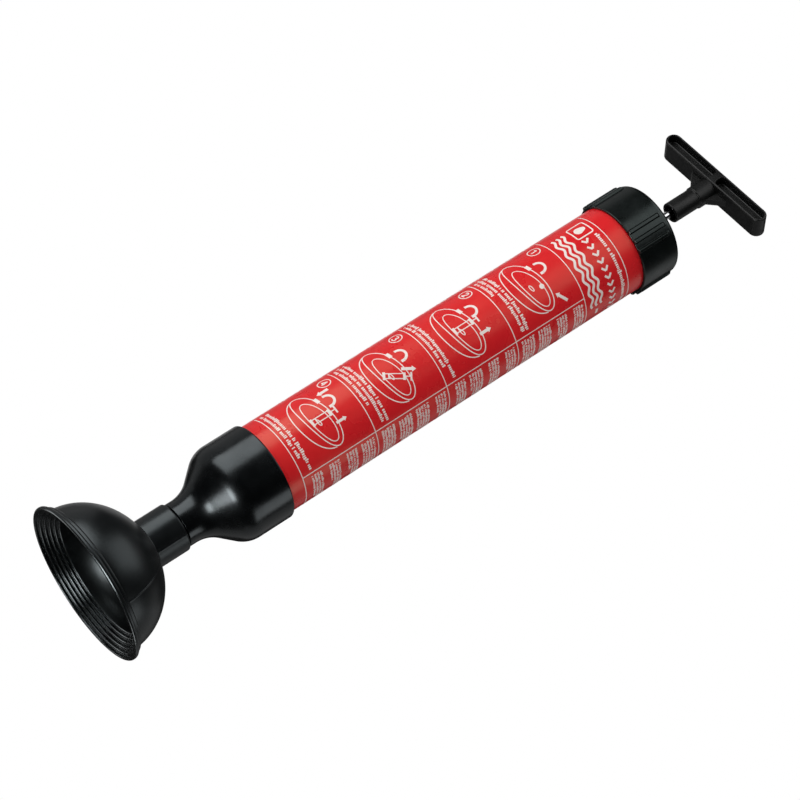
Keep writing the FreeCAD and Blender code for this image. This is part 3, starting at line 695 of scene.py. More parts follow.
RUBBER = {"marks": 38.0, "grain": 2600.0, "depth": 0.000012, "wear": 0.25, "sheen": 0.02,
          "gloss": (0.86, 0.97, 1.0)}
FILM = {"marks": 30.0, "grain": 900.0, "depth": 0.000006, "specular": 0.44}
METAL = {"marks": 70.0, "depth": 0.000004, "metal": True}
FINISHES = {
    "cup_rubber": Finish((0.0008, 0.0011, 0.0015), (0.0018, 0.0022, 0.0027), (0.3, 0.38),
                         polish=(0.35, 0.5), **RUBBER),
    "seal_rubber": Finish((0.008, 0.008, 0.009), (0.02, 0.02, 0.021), (0.5, 0.62),
                          specular=0.4, **RUBBER),
    "black_plastic": Finish((0.00048, 0.00072, 0.00104), (0.0006, 0.0009, 0.0013), (0.2, 0.3),
                            wear=0.12, worn=(0.02, 0.021, 0.023), dust=0.02,
                            gloss=(0.86, 0.96, 1.0)),
    "cap_plastic": Finish((0.00064, 0.0012, 0.00112), (0.0008, 0.0015, 0.0014), (0.26, 0.36),
                          depth=0.00003, wear=0.2, worn=(0.018, 0.021, 0.022), dust=0.02,
                          gloss=(0.82, 0.98, 0.96)),
    "handle_plastic": Finish((0.00096, 0.00128, 0.00128), (0.0012, 0.0016, 0.0016), (0.38, 0.5),
                             grain=1300.0, depth=0.00005, wear=0.2,
                             worn=(0.024, 0.025, 0.025), dust=0.01, specular=0.42),
    "core_plastic": Finish((0.16, 0.168, 0.176), (0.2, 0.21, 0.22), (0.35, 0.5),
                           depth=0.00002, wear=0.35, worn=(0.3, 0.3, 0.31), dust=0.05),
    "bush_plastic": Finish((0.544, 0.528, 0.48), (0.68, 0.66, 0.6), (0.3, 0.45),
                           wear=0.35, worn=(0.75, 0.74, 0.7), dust=0.02),
    "barrel_plastic": Finish((0.4, 0.016, 0.016), (0.5, 0.02, 0.02), (0.25, 0.35),
                             grain=1200.0, wear=0.35, worn=(0.6, 0.08, 0.07), dust=0.02),
    "red_print": Finish((0.72, 0.012, 0.02), (0.78, 0.016, 0.022), (0.25, 0.33),
                        gloss=(1.0, 1.0, 0.68), **FILM),
    "pale_ink": Finish((0.93, 0.82, 0.77), (0.95, 0.87, 0.82), (0.36, 0.46), **FILM),
    "rod_steel": Finish((0.74, 0.75, 0.76), (0.82, 0.83, 0.84), (0.1, 0.2), **METAL),
    "fastener_steel": Finish((0.5, 0.5, 0.47), (0.62, 0.62, 0.6), (0.28, 0.42), **METAL),
    "plate_alloy": Finish((0.62, 0.63, 0.64), (0.72, 0.73, 0.74), (0.3, 0.45), **METAL),
}


@cache
def made_finish(name: str) -> bpy.types.Material:
    """The material of that finish, made once."""
    return FINISHES[name].material(name)


def dress_frame() -> None:
    """Give every CAD node the finish of its own material slot."""
    slots = {entry["node"]: entry["material_slot"] for entry in frame["record"]["subparts"]}
    for node, piece in frame["nodes"].items():
        material = made_finish(slots[node])
        if not piece.material_slots:
            piece.data.materials.append(material)
        for slot in piece.material_slots:
            slot.material = material


def finish_piece(piece: Piece, body: str, slot: str, *nodes: str, look: str = "") -> None:
    """Dress a finished piece and place it in the frame.

    Args:
        piece: The piece.
        body: The CAD body it rides on.
        slot: The record's material slot.
        nodes: The CAD nodes it stands for.
        look: Its finish, if that isn't the slot's own.
    """
    piece.data.materials.clear()
    piece.data.materials.append(made_finish(look or slot))
    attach(piece, body)
    if nodes:
        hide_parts(*nodes)
    triangles = sum(len(face.vertices) - 2 for face in piece.data.polygons)
    LOG.info("%s: %d triangles on %s", piece.name, triangles, body)


# ---- Cup and nozzle ------------------------------------------------------------------------------

@dataclass
class SuctionCup:
    """Rubber cup: two rim beads, a dome, a collar, sealing steps in the mouth, two mould seams."""

    bead_height: float = 3.4
    bead_step: float = 2.6
    second_top: float = 6.6
    dome_radius: float = 56.5
    dome_rise: float = 51.0
    dome_foot: float = 4.0
    mouth_inset: float = 2.6
    mouth_foot: float = 0.9
    step_width: float = 2.45
    step_height: float = 2.5
    step_nose: float = 0.8
    step_root: float = 0.15
    steps: int = 5
    collar_radius: float = 18.7
    collar_edge: float = 1.3
    bore_radius: float = 14.55
    crown_bottom: float = 46.5
    seam_height: float = 0.22
    seam_width: float = 0.5
    seam_top: float = 52.0
    seam_angle: float = math.radians(-32.0)

    def dome(self) -> Array:
        """Outer dome: an ellipse of radius and rise about a centre near the rim.

        Returns:
            The dome's points, from the rim up.
        """
        start = math.degrees(math.asin((self.second_top + 0.8 - self.dome_foot) / self.dome_rise))
        stop = math.degrees(math.acos((self.collar_radius + 1.2) / self.dome_radius))
        return arc((0, self.dome_foot), (self.dome_radius, self.dome_rise), start, stop, 56)

    def hollow(self) -> Array:
        """Inner dome: an ellipse from the last step up to the bore.

        Returns:
            The hollow's points, from the bore down.
        """
        foot = self.step_height * self.steps
        edge = reach("suction_cup") - self.mouth_inset - self.step_width * self.steps
        stop = math.degrees(math.acos((self.bore_radius + 0.6) / edge))
        rise = (self.crown_bottom - foot) / math.sin(math.radians(stop))
        return arc((0, foot + 0.6), (edge - 0.2, rise), stop, 2, 40)

    def outline(self) -> Array:
        """The cup's closed outline, from the rim's foot out, up, in and down.

        Returns:
            The outline's points, one row each.
        """
        rim, top = reach("suction_cup"), high("suction_cup")
        bead, inner = rim - self.bead_step, rim - self.mouth_inset
        dome, hollow = self.dome(), self.hollow()
        outside = inner_run([
            (inner - 0.3, self.mouth_foot), (inner + 0.1, 0, 0.5), (rim, 0, 1.4),
            (rim, self.bead_height, 1.4), (bead, self.bead_height, 0.45),
            (bead, self.second_top, 1.3), (dome[0, 0], self.second_top, 0.4), dome[1]])
        collar = inner_run([
            dome[-2], (self.collar_radius, dome[-1, 1] + 0.2, 1.0),
            (self.collar_radius, top, self.collar_edge), (self.bore_radius, top, 0.4),
            (self.bore_radius, self.crown_bottom, 0.9), hollow[1]])
        stairs = [hollow[-2]]
        for step in range(self.steps, 0, -1):
            edge, height = inner - self.step_width * step, self.step_height * step
            stairs += [(edge, height, self.step_nose),
                       (edge + self.step_width, height, self.step_root)]
        stairs.append((inner, self.mouth_foot))
        return np.vstack([outside, dome[1:-1], collar, hollow[1:-1], inner_run(stairs)])

    def build(self) -> None:
        """Make the cup and put it on its body."""
        near = np.linspace(-1, 1, 15) * self.seam_width * 3 / self.dome_radius
        seams = [(self.seam_angle + side + near) % TURN for side in (0, math.pi)]
        angles = np.unique(np.concatenate([round_angles(240), *seams]))
        piece = lathe("suction_cup_body", self.outline(), angles)
        self.raise_seams(piece)
        finish_piece(piece, "cup", "cup_rubber", "suction_cup")

    def raise_seams(self, piece: Piece) -> None:
        """Lift the outer skin by a bell curve of the distance from the nearer seam.

        Args:
            piece: The turned cup.
        """
        points = read_points(piece)
        radius = np.hypot(points[:, 0], points[:, 1])
        angle = np.arctan2(points[:, 1], points[:, 0]) - self.seam_angle
        away = radius * np.abs(np.sin(angle))
        climb = (points[:, 2] - self.dome_foot) / self.dome_rise
        skin = self.dome_radius * np.sqrt(np.clip(1 - climb ** 2, 0, 1))
        on_skin = (radius > skin - 1.5) & (points[:, 2] > self.second_top)
        lift = self.seam_height * np.exp(-(away / self.seam_width) ** 2) * on_skin
        points[:, :2] *= (1 + lift / np.maximum(radius, 1))[:, None]
        points[:, 2] += lift * 0.4 * (points[:, 2] < self.seam_top)
        write_points(piece, points)


@dataclass
class NozzleFunnel:
    """Moulded nozzle: spigot, neck, hollow cove, cone, round shoulder and socket."""

    spigot_radius: float = 14.5
    bore_radius: float = 11.5
    neck_radius: float = 17.1
    neck_length: float = 6.75
    joint_gap: float = 0.9
    cove: float = 26.5
    shoulder: float = 21.2
    cone_angle: float = 40.8
    wall: float = 3.0
    socket_wall: float = 3.3
    bend_points: int = 28

    def bend(self, wall_radius: float, inset: float, radius: float, upper: bool) -> Array:
        """Arc that joins a straight wall to the cone, tangent to both.

        Args:
            wall_radius: The straight wall's radius.
            inset: How far inside the outer cone its line lies, along the radius.
            radius: The arc's radius.
            upper: Whether the wall stands above the cone.

        Returns:
            The arc's points, from its lower end up.
        """
        half = math.tan(math.radians(self.cone_angle / 2))
        slope = math.tan(math.radians(self.cone_angle))
        foot = high("suction_cup") + self.neck_length + self.cove * half
        corner = foot + (wall_radius + inset - self.neck_radius) / slope
        side = -1 if upper else 1
        start, stop = (-self.cone_angle, 0) if upper else (180, 180 - self.cone_angle)
        centre = (wall_radius + side * radius, corner - side * radius * half)
        return arc(centre, (radius, radius), start, stop, self.bend_points)

    def build(self) -> None:
        """Make the funnel and put it on the barrel."""
        bottom, top = low("nozzle_funnel"), high("nozzle_funnel")
        seat, collar = low("barrel_tube"), high("suction_cup")
        neck_foot = collar + self.joint_gap
        outer, socket = reach("nozzle_funnel"), reach("barrel_tube") + 0.1
        inset = self.wall / math.cos(math.radians(self.cone_angle))
        chamber = socket - self.socket_wall
        base = rounded([(self.bore_radius, bottom, 0.3), (self.spigot_radius, bottom, 0.6),
                        (self.spigot_radius, neck_foot, 0.15), (self.neck_radius, neck_foot, 0.6),
                        (self.neck_radius, collar + 4)], False, 5)
        lip = rounded([(outer, top - 8), (outer, top, 1.0), (socket, top, 0.3),
                       (socket, seat, 0.2), (chamber, seat, 0.2), (chamber, seat - 1.2)], False)
        outline = np.vstack([
            [[self.bore_radius, bottom + 2]], base[:-1],
            self.bend(self.neck_radius, 0, self.cove, False),
            self.bend(outer, 0, self.shoulder, True), lip[1:],
            self.bend(chamber, inset, self.shoulder - self.wall, True)[::-1],
            self.bend(self.bore_radius, inset, self.cove, False)[::-1]])
        piece = lathe("nozzle_funnel_body", outline, 208)
        finish_piece(piece, "barrel", "black_plastic", "nozzle_funnel")


# ---- Printed sleeve ------------------------------------------------------------------------------

class Ink:
    """Collects flat shapes drawn in label millimetres and wraps them round the sleeve.

    The first coordinate runs round the sleeve to the right from the middle of the front, the second
    is the height above the floor.
    """

    def __init__(self, radius: float, sunk: float = 0.03, proud: float = 0.07) -> None:
        """Start with nothing drawn on a sleeve of that radius.

        Args:
            radius: The sleeve's radius.
            sunk: Depth of the ink's underside in the film.
            proud: Height of its top over the film.
        """
        self.radius = radius
        self.levels = (-sunk, proud)
        self.points: list[Array] = []
        self.faces: list[Array] = []
        self.caps: list[Array] = []
        self.count = 0

    def wrap(self, flat: Array, level: float) -> Array:
        """Wrap points at a height above the film: the angle is the distance over the radius.

        Args:
            flat: Label points, one row each.
            level: Height above the film.

        Returns:
            The wrapped points.
        """
        angle = FRONT + flat[:, 0] / self.radius
        out = self.radius + level
        return np.stack([out * np.cos(angle), out * np.sin(angle), flat[:, 1]], axis=1)

    def add(self, points: Array, faces: Array) -> None:
        """Keep points and the faces that number them from zero.

        Args:
            points: Wrapped points.
            faces: Faces that number them from zero.
        """
        self.points.append(points)
        self.faces.append(faces + self.count)
        self.count += len(points)

    def stroke(self, path: Array, width: float, closed: bool = False) -> None:
        """A line along a path: at each point, half the width to both sides of the tangent.

        Args:
            path: Label points, one row each.
            width: The line's width.
            closed: Whether the path joins its start.
        """
        ahead = (np.roll(path, -1, axis=0) - np.roll(path, 1, axis=0) if closed
                 else np.gradient(path, axis=0))
        ahead /= np.maximum(np.linalg.norm(ahead, axis=1, keepdims=True), 1e-9)
        side = np.stack([-ahead[:, 1], ahead[:, 0]], axis=1) * width / 2
        under, over = self.levels
        ring = [self.wrap(path + side, under), self.wrap(path - side, under),
                self.wrap(path - side, over), self.wrap(path + side, over)]
        faces = grid_faces(len(path), 4, closed, True)
        if not closed:
            last = (len(path) - 1) * 4
            faces = np.vstack([faces, [[3, 2, 1, 0], [last, last + 1, last + 2, last + 3]]])
        self.add(np.stack(ring, axis=1).reshape(-1, 3), faces)

    def line(self, start: Point, stop: Point, width: float, step: float = LINE_STEP) -> None:
        """A straight stroke, with enough points to follow the sleeve.

        Args:
            start: Where it starts.
            stop: Where it ends.
            width: Its width.
            step: Longest stretch between two of its points.
        """
        first, last = np.array(start), np.array(stop)
        share = np.linspace(0, 1, max(2, int(math.dist(first, last) / step)))[:, None]
        self.stroke(first + share * (last - first), width)

    def polyline(self, path: list[Point], width: float) -> None:
        """Straight strokes from point to point."""
        for start, stop in zip(path[:-1], path[1:]):
            self.line(start, stop, width)

    def blocks(self, left: Array, right: Array, bottom: Array, top: Array) -> None:
        """Many small solid rectangles at once, given by their sides.

        Args:
            left: Their left sides.
            right: Their right sides.
            bottom: Their lower sides.
            top: Their upper sides.
        """
        flat = np.stack([np.stack([x, y], 1) for x, y in (
            (left, bottom), (right, bottom), (right, top), (left, top))], axis=1).reshape(-1, 2)
        layers = [self.wrap(flat, level).reshape(-1, 4, 3) for level in self.levels]
        box = np.array([[3, 2, 1, 0], [4, 5, 6, 7], [0, 1, 5, 4],
                        [1, 2, 6, 5], [2, 3, 7, 6], [3, 0, 4, 7]])
        offsets = np.arange(len(left))[:, None, None] * 8
        self.add(np.concatenate(layers, axis=1).reshape(-1, 3), (box + offsets).reshape(-1, 4))

    def patch(self, outline: Array, centre: Point, rings: int = 4) -> None:
        """A filled shape: its outline shrunk in steps to a centre from which all of it is seen.

        Args:
            outline: Label points round the shape.
            centre: The point it shrinks to.
            rings: Steps from the outline to the centre.
        """
        middle = np.array(centre)
        flat = middle + (outline - middle)[None] * np.linspace(1, 0.02, rings)[:, None, None]
        under, over = self.levels
        layers = [self.wrap(ring, over) for ring in flat[::-1]]
        layers += [self.wrap(ring, under) for ring in flat]
        side = len(outline)
        first = np.arange(side) + self.count
        self.caps += [first[::-1][None], (first + (rings * 2 - 1) * side)[None]]
        self.add(np.vstack(layers), grid_faces(rings * 2, side, False, True))

    def piece(self, name: str) -> Piece:
        """Everything drawn, as one mesh.

        Args:
            name: The piece's name.

        Returns:
            The piece.
        """
        made = new_piece(name, np.vstack(self.points), self.faces + self.caps)
        made.data.shade_flat()
        return made


@dataclass(frozen=True)
class Step:
    """One numbered step of the label.

    Args:
        rows: Rows of text below its pictogram.
        end: Where the last row ends.
        pump: The little pump's distance right of the basin's middle and its lean, if it is there.
        arrows: Tail, tip and width of each arrow, measured from the basin's middle.
    """

    rows: int
    end: float
    pump: Point | None
    arrows: tuple


STEPS = (
    Step(3, -17.5, None, (((26.0, 19.0), (16.8, 12.4), 2.2),)),
    Step(2, 7.0, (1.0, 0), (((12.5, 9.0), (12.5, 19.0), 2.3),)),
    Step(3, 0.5, (0.5, -32), (((3.0, 8.0), (8.6, 17.5), 2.3),)),
    Step(2, 6.0, (2.0, 0), (((-15.5, 21.0), (-15.5, 11.0), 2.5),
                            ((11.0, 9.0), (11.0, 18.0), 2.0))),
)
BASIN_ARCS = (      # offset, radii, first and last angle, points, turn, width, closed
    ((0, 0), (26.0, 10.0), 0, 354, 64, 9, 0.8, True),
    ((3.0, -0.4), (19.0, 6.6), 0, 354, 56, 9, 0.7, True),
    ((0, 0), (26.0, 17.0), 186, 352, 44, 7, 0.8, False),
    ((4.0, -2.2), (2.6, 1.0), 0, 345, 20, 9, 0.7, True),
)
PUMP_STROKES = (    # from, to, width and step, measured from the little pump's foot
    ((-3.1, 0.6), (3.1, 0.6), 2.0, BAR_STEP),
    ((-1.9, 1.6), (-1.9, 15.0), 0.75, LINE_STEP),
    ((1.9, 1.6), (1.9, 15.0), 0.75, LINE_STEP),
    ((-2.2, 4.2), (2.2, 4.2), 1.1, BAR_STEP),
    ((-2.8, 15.6), (2.8, 15.6), 2.0, BAR_STEP),
    ((0, 16.4), (0, 20.5), 0.8, LINE_STEP),
    ((-3.2, 20.8), (3.2, 20.8), 1.4, BAR_STEP),
)


@dataclass
class LabelPrint:
    """Line print on the sleeve: rules, numbered pictograms, and rows of plain marks for text."""

    rule: float = 0.68
    left: float = -46.0
    divider: float = 20.4
    column_pitch: float = 58.0
    title_top: float = 468.6
    title_bottom: float = 427.4
    panel_height: float = 65.2
    row_pitch: float = 4.1
    small_row_pitch: float = 2.45
    paragraph_pitch: float = 15.6
    badge_left: float = -35.4
    badge_drop: float = 9.3
    badge_radius: float = 5.0
    basin_left: float = -12.0
    basin_drop: float = 32.5
    ink: Ink = field(default_factory=lambda: Ink(reach("label_sleeve")))
    random: np.random.Generator = field(default_factory=lambda: np.random.default_rng(11))

    def text_row(self, start: float, stop: float, base: float, tall: float, bold: float) -> None:
        """A row of plain marks in word-like groups.

        Args:
            start: Left end.
            stop: Right end.
            base: Height of the row's foot.
            tall: Height of a tall mark.
            bold: Width of a mark as a share of its height.
        """
        count = int((stop - start) / (tall * 0.42))
        width = tall * bold * self.random.uniform(0.75, 1.35, count)
        gap = tall * 0.15 * self.random.uniform(0.8, 1.4, count)
        gap[self.random.random(count) < 0.17] = tall * 0.6
        right = start + np.cumsum(width + gap)
        keep = right < stop
        right, width = right[keep], width[keep]
        share = np.where(self.random.random(len(right)) < 0.3, 1.0, 0.72)
        drop = np.where(self.random.random(len(right)) < 0.12, 0.22, 0.0)
        self.ink.blocks(right - width, right, base - drop * tall, base + share * tall)

    def rules(self) -> None:
        """The rules round the sleeve, and the uprights between the columns."""
        back = self.left + TURN * self.ink.radius - 6
        foot = self.title_bottom - 4 * self.panel_height
        panels = [self.title_bottom - step * self.panel_height for step in range(1, 4)]
        for level in (self.title_top, self.title_bottom, foot, *panels):
            self.ink.line((self.left, level), (back, level), self.rule)
        for column in range(3):
            place = self.divider + column * self.column_pitch
            self.ink.line((place, foot), (place, self.title_bottom), self.rule)

    def small_text(self) -> None:
        """Columns of short paragraphs right of the steps and round the back."""
        for column in range(3):
            start = self.divider + 2.4 + column * self.column_pitch
            stop = start + (53.0 if column < 2 else 32.0)
            for panel in range(4):
                base = self.title_bottom - panel * self.panel_height - 4.2
                for _ in range(4):
                    rows = int(self.random.integers(4, 6))
                    for row in range(rows):
                        share = self.random.uniform(0.3, 0.8) if row == rows - 1 else 1.0
                        self.text_row(start, start + (stop - start) * share,
                                      base - row * self.small_row_pitch, 1.85, 0.38)
                    base -= self.paragraph_pitch

    def badge(self, number: int, top: float) -> None:
        """A step's number in a ring.

        Args:
            number: The step's number.
            top: Height of its panel's top.
        """
        ink, x, y = self.ink, self.badge_left, top - self.badge_drop
        ink.stroke(circle_path((x, y), self.badge_radius), 0.8, closed=True)
        if number == 1:
            ink.polyline([(x - 1.2, y + 1.3), (x + 0.4, y + 2.6), (x + 0.4, y - 2.6)], 1.15)
        elif number == 2:
            foot = (x - 1.7, y - 2.4)
            ink.stroke(np.vstack([arc((x, y + 1.1), (1.6, 1.5), 165, -35, 12), foot]), 1.1)
            ink.line(foot, (x + 1.9, y - 2.4), 1.1)
        elif number == 3:
            ink.stroke(arc((x - 0.1, y + 1.25), (1.5, 1.3), 150, -85, 12), 1.05)
            ink.stroke(arc((x - 0.1, y - 1.3), (1.8, 1.45), 85, -150, 14), 1.05)
        else:
            ink.polyline([(x + 0.9, y - 2.6), (x + 0.9, y + 2.6), (x - 1.9, y - 1.0),
                          (x + 2.0, y - 1.0)], 1.15)

    def arrow(self, tail: Point, tip: Point, width: float) -> None:
        """A solid arrow whose head is as long as 1.35 widths.

        Args:
            tail: Where it starts.
            tip: Where it ends.
            width: Width of its shaft.
        """
        tail_point, tip_point = np.array(tail), np.array(tip)
        length = float(np.linalg.norm(tip_point - tail_point))
        along = (tip_point - tail_point) / length
        across = np.array([-along[1], along[0]])
        neck = tail_point + along * (length - width * 1.35)
        self.ink.line(tail_point, neck + along * 0.2, width, BAR_STEP)
        head = np.array([neck + across * width, neck - across * width, tip_point])
        sides = [head[i] + (head[(i + 1) % 3] - head[i]) * share
                 for i in range(3) for share in (0, 0.33, 0.67)]
        self.ink.patch(np.vstack(sides), tuple(head.mean(axis=0)))

    def basin(self, x: float, y: float) -> None:
        """A wash basin: rim, bowl, front edge, drain and a tap on its back corner.

        Args:
            x: Place of its middle, across.
            y: Place of its middle, upwards.
        """
        for (dx, dy), radii, start, stop, count, turn, width, closed in BASIN_ARCS:
            path = arc((x + dx, y + dy), radii, start, stop, count)
            self.ink.stroke(turned_path(path, turn, (x, y)), width, closed)
        foot_x, foot_y = x - 11.5, y + 7.5
        spout = foot_x + 9.9
        self.ink.line((foot_x - 2.4, foot_y), (foot_x + 2.6, foot_y + 0.8), 3.0, BAR_STEP)
        self.ink.stroke(arc((foot_x + 5.0, foot_y + 6.0), (5.0, 5.6), 185, 15, 22), 2.0)
        self.ink.line((spout, foot_y + 7.3), (spout, foot_y + 4.6), 2.2, BAR_STEP)

    def small_pump(self, x: float, y: float, lean: float) -> None:
        """A little pump that stands on the drain and leans by an angle.

        Args:
            x: Place of its foot, across.
            y: Place of its foot, upwards.
            lean: Its lean in degrees, anticlockwise.
        """
        for start, stop, width, step in PUMP_STROKES:
            ends = turned_path(np.array([start, stop]) + np.array((x, y)), lean, (x, y))
            self.ink.line(ends[0], ends[1], width, step)

    def steps(self) -> None:
        """The four numbered steps, each with a pictogram and rows of text."""
        for number, step in enumerate(STEPS, 1):
            top = self.title_bottom - (number - 1) * self.panel_height
            self.badge(number, top)
            x, y = self.basin_left, top - self.basin_drop
            self.basin(x, y)
            if step.pump:
                self.small_pump(x + step.pump[0], y - 6.5, step.pump[1])
            for tail, tip, width in step.arrows:
                self.arrow((x + tail[0], y + tail[1]), (x + tip[0], y + tip[1]), width)
            if not step.pump:
                drop = (x + 7.0, y + 6.2)
                self.ink.patch(circle_path(drop, 2.0, 24), drop)
            for row in range(step.rows):
                base = top - self.panel_height + 3.0 + (step.rows - 1 - row) * self.row_pitch
                stop = step.end if row == step.rows - 1 else 17.5
                self.text_row(self.left + 2.5, stop, base, 2.7, 0.36)

    def title(self) -> None:
        """The head of the label: a drop in a square, a row of marks, chevrons and bold waves."""
        left, base, size, bend = -35.6, 449.3, 15.0, 1.6
        right, top = left + size, base + size
        square = rounded([(left, base, bend), (right, base, bend), (right, top, bend),
                          (left, top, bend)])
        self.ink.stroke(even_path(square, 1.0), 1.1, closed=True)
        centre = (left + size / 2, base + size * 0.42)
        angles = np.radians(np.linspace(0, 345, 24))
        radius = 3.6 * (1 + 0.75 * np.clip(np.sin(angles), 0, 1) ** 6)
        self.ink.patch(np.stack([centre[0] + radius * np.cos(angles),
                                 centre[1] + radius * np.sin(angles)], axis=1), centre)
        self.text_row(-18.0, 52.0, 462.0, 3.1, 0.34)
        for place in np.arange(-16.5, 50.0, 6.4):
            back = place - 1.6
            self.ink.polyline([(back, 450.2), (place + 1.6, 453.0), (back, 455.8)], 1.7)
        along = np.linspace(-33.5, 33.5, 90)
        for level in (433.4, 437.9, 442.4):
            wave = level + 1.25 * np.sin(along * TURN / 11.2)
            self.ink.stroke(np.stack([along, wave], axis=1), 2.0)
        self.ink.line((37.5, 438.0), (43.0, 438.0), 2.2)

    def build(self) -> None:
        """Draw the print and put it on the barrel."""
        self.rules()
        self.small_text()
        self.steps()
        self.title()
        finish_piece(self.ink.piece("label_print"), "barrel", "red_print", look="pale_ink")


@dataclass
class PrintedSleeve:
    """Red film round the tube, a little sunk in a strip at the back where its ends meet."""

    lap_width: float = 7.0
    lap_drop: float = 0.09
    lap_angle: float = FRONT + math.pi + 0.35
    lap_edge: float = 0.0008

    def build(self) -> None:
        """Make the film and put it on the barrel."""
        outer, inner = reach("label_sleeve"), reach("barrel_tube")
        foot, top = low("label_sleeve"), high("label_sleeve")
        outline = rounded([(inner, foot, 0.05), (outer, foot, 0.12), (outer, top, 0.12),
                           (inner, top, 0.05)], steps=3)
        width = self.lap_width / outer
        edges = self.lap_angle + np.array([-self.lap_edge, self.lap_edge, width,
                                           width + 2 * self.lap_edge])
        angles = np.unique(np.concatenate([round_angles(240), edges % TURN]))
        piece = lathe("label_sleeve_film", outline, angles)
        points = read_points(piece)
        turn = (np.arctan2(points[:, 1], points[:, 0]) - self.lap_angle) % TURN
        outside = np.hypot(points[:, 0], points[:, 1]) > outer - 0.02
        sunk = np.where((turn < width) & outside, self.lap_drop / outer, 0.0)
        points[:, :2] *= (1 - sunk)[:, None]
        write_points(piece, points)
        finish_piece(piece, "barrel", "red_print", "label_sleeve")


# ---- Cap, guide and rod --------------------------------------------------------------------------

@dataclass
class ScrewCap:
    """Screw cap: grip ribs in groups of three, a rounded top edge, thread and air holes."""

    rib_height: float = 1.75
    rib_half: float = 1.35
    rib_pitch: float = math.radians(12.3)
    rib_groups: int = 4
    rib_stop: float = 5.0
    first_group: float = math.radians(-53.5)
    edge: float = 3.8
    roof: float = 3.2
    bore: float = 35.0
    mouth: float = 35.4
    mouth_depth: float = 4.0
    wall: float = 1.8
    hole: float = 9.9
    thread_pitch: float = 4.0
    thread_depth: float = 1.25
    thread_rows: int = 84
    side_rows: int = 46
    vent_circle: float = 20.0
    vent_radius: float = 2.0

    def rib_angles(self) -> Array:
        """Angle of each rib round the axis."""
        group = self.first_group + np.arange(self.rib_groups) * TURN / self.rib_groups
        return (group[:, None] + (np.arange(3) - 1) * self.rib_pitch).ravel()

    def angles(self) -> Array:
        """Angles round the axis, closer together at each rib.

        Returns:
            The angles in order.
        """
        near = np.linspace(-1, 1, 19) * (self.rib_half + 0.9) / reach("screw_cap")
        close = (self.rib_angles()[:, None] + near).ravel()
        return np.unique(np.round(np.concatenate([round_angles(180), close]) % TURN, 5))

    def build(self) -> None:
        """Make the cap and put it on its body."""
        foot, top = low("screw_cap"), high("screw_cap")
        outer, seat = self.mouth + self.wall, self.bore - 6.5
        under, step = top - self.roof, foot + self.mouth_depth
        outside = rounded([(self.mouth, foot), (outer, foot, 0.7), (outer, top, self.edge),
                           (self.hole, top, 0.5), (self.hole, under, 0.2), (seat, under, 0.2),
                           (seat, under - 1, 0.2), (self.bore, under - 1)], False, 7)
        cut = int(np.argmax(outside[:, 1] > foot + 1.3))
        outline = np.vstack([
            outside[:cut],
            upright(outer, np.linspace(foot + 1.3, top - self.edge - 0.6, self.side_rows)),
            outside[cut:],
            upright(self.bore, np.linspace(under - 2.0, step + 0.8, self.thread_rows)),
            inner_run([(self.bore, foot + 8), (self.bore, step, 0.15), (self.mouth, step, 0.1),
                       (self.mouth, foot)], 3)])
        angles = self.angles()
        radii = outline[:, :1] + self.ribs(outline, angles, outer, foot, top)
        radii = radii - self.thread(outline, angles, foot)
        piece = lathe("screw_cap_body", outline, angles, radii)
        narrow, wide = self.vent_radius, self.vent_radius + 0.9
        drill = np.array([(0, under - 0.6), (narrow, under - 0.6), (narrow, top - 0.5),
                          (wide, top + 0.4), (wide, top + 1.0), (0, top + 1.0)])
        drill_four(piece, drill, 28, self.vent_circle, self.first_group)
        shade_by_angle(piece, 50)
        finish_piece(piece, "cap", "cap_plastic", "screw_cap")

    def ribs(self, outline: Array, angles: Array, outer: float, foot: float, top: float) -> Array:
        """Rib height over the outer wall.

        Round the axis each rib is a flat top that falls off on both sides; along the axis it starts
        at the cap's foot and runs out below the rounded edge.

        Args:
            outline: The cap's outline.
            angles: Angles round the axis.
            outer: Radius of the outer wall.
            foot: Height of the cap's foot.
            top: Height of its top.

        Returns:
            A height for each outline point and angle.
        """
        away = np.abs((angles[:, None] - self.rib_angles()[None] + math.pi) % TURN - math.pi)
        near = away.min(axis=1) * outer
        shape = 1 - smooth_rise(near, self.rib_half - 0.3, self.rib_half + 0.5)
        end = top - self.rib_stop
        along = smooth_rise(outline[:, 1], foot - 0.2, foot + 0.9) \
            * (1 - smooth_rise(outline[:, 1], end - 2.4, end + 0.2))
        on_wall = outline[:, 0] > outer - 0.75
        return self.rib_height * (along * on_wall)[:, None] * shape[None, :]

    def thread(self, outline: Array, angles: Array, foot: float) -> Array:
        """Depth of the inner ridge: a rounded crest that climbs one pitch in each turn.

        Args:
            outline: The cap's outline.
            angles: Angles round the axis.
            foot: Height of the cap's foot.

        Returns:
            A depth for each outline point and angle.
        """
        start = foot + self.mouth_depth + 2.0 + self.thread_pitch / 2
        climb = angles * self.thread_pitch / TURN
        phase = (outline[:, 1:] - start - climb) / self.thread_pitch
        crest = np.clip(1.4 - 5.2 * np.abs(phase - np.round(phase)), 0, 1)
        fade = smooth_rise(outline[:, 1], start - 2.2, start - 0.6) \
            * (1 - smooth_rise(outline[:, 1], start + 12.0, start + 14.5))
        on_wall = np.abs(outline[:, 0] - self.bore) < 0.01
        return self.thread_depth * crest * (fade * on_wall)[:, None]


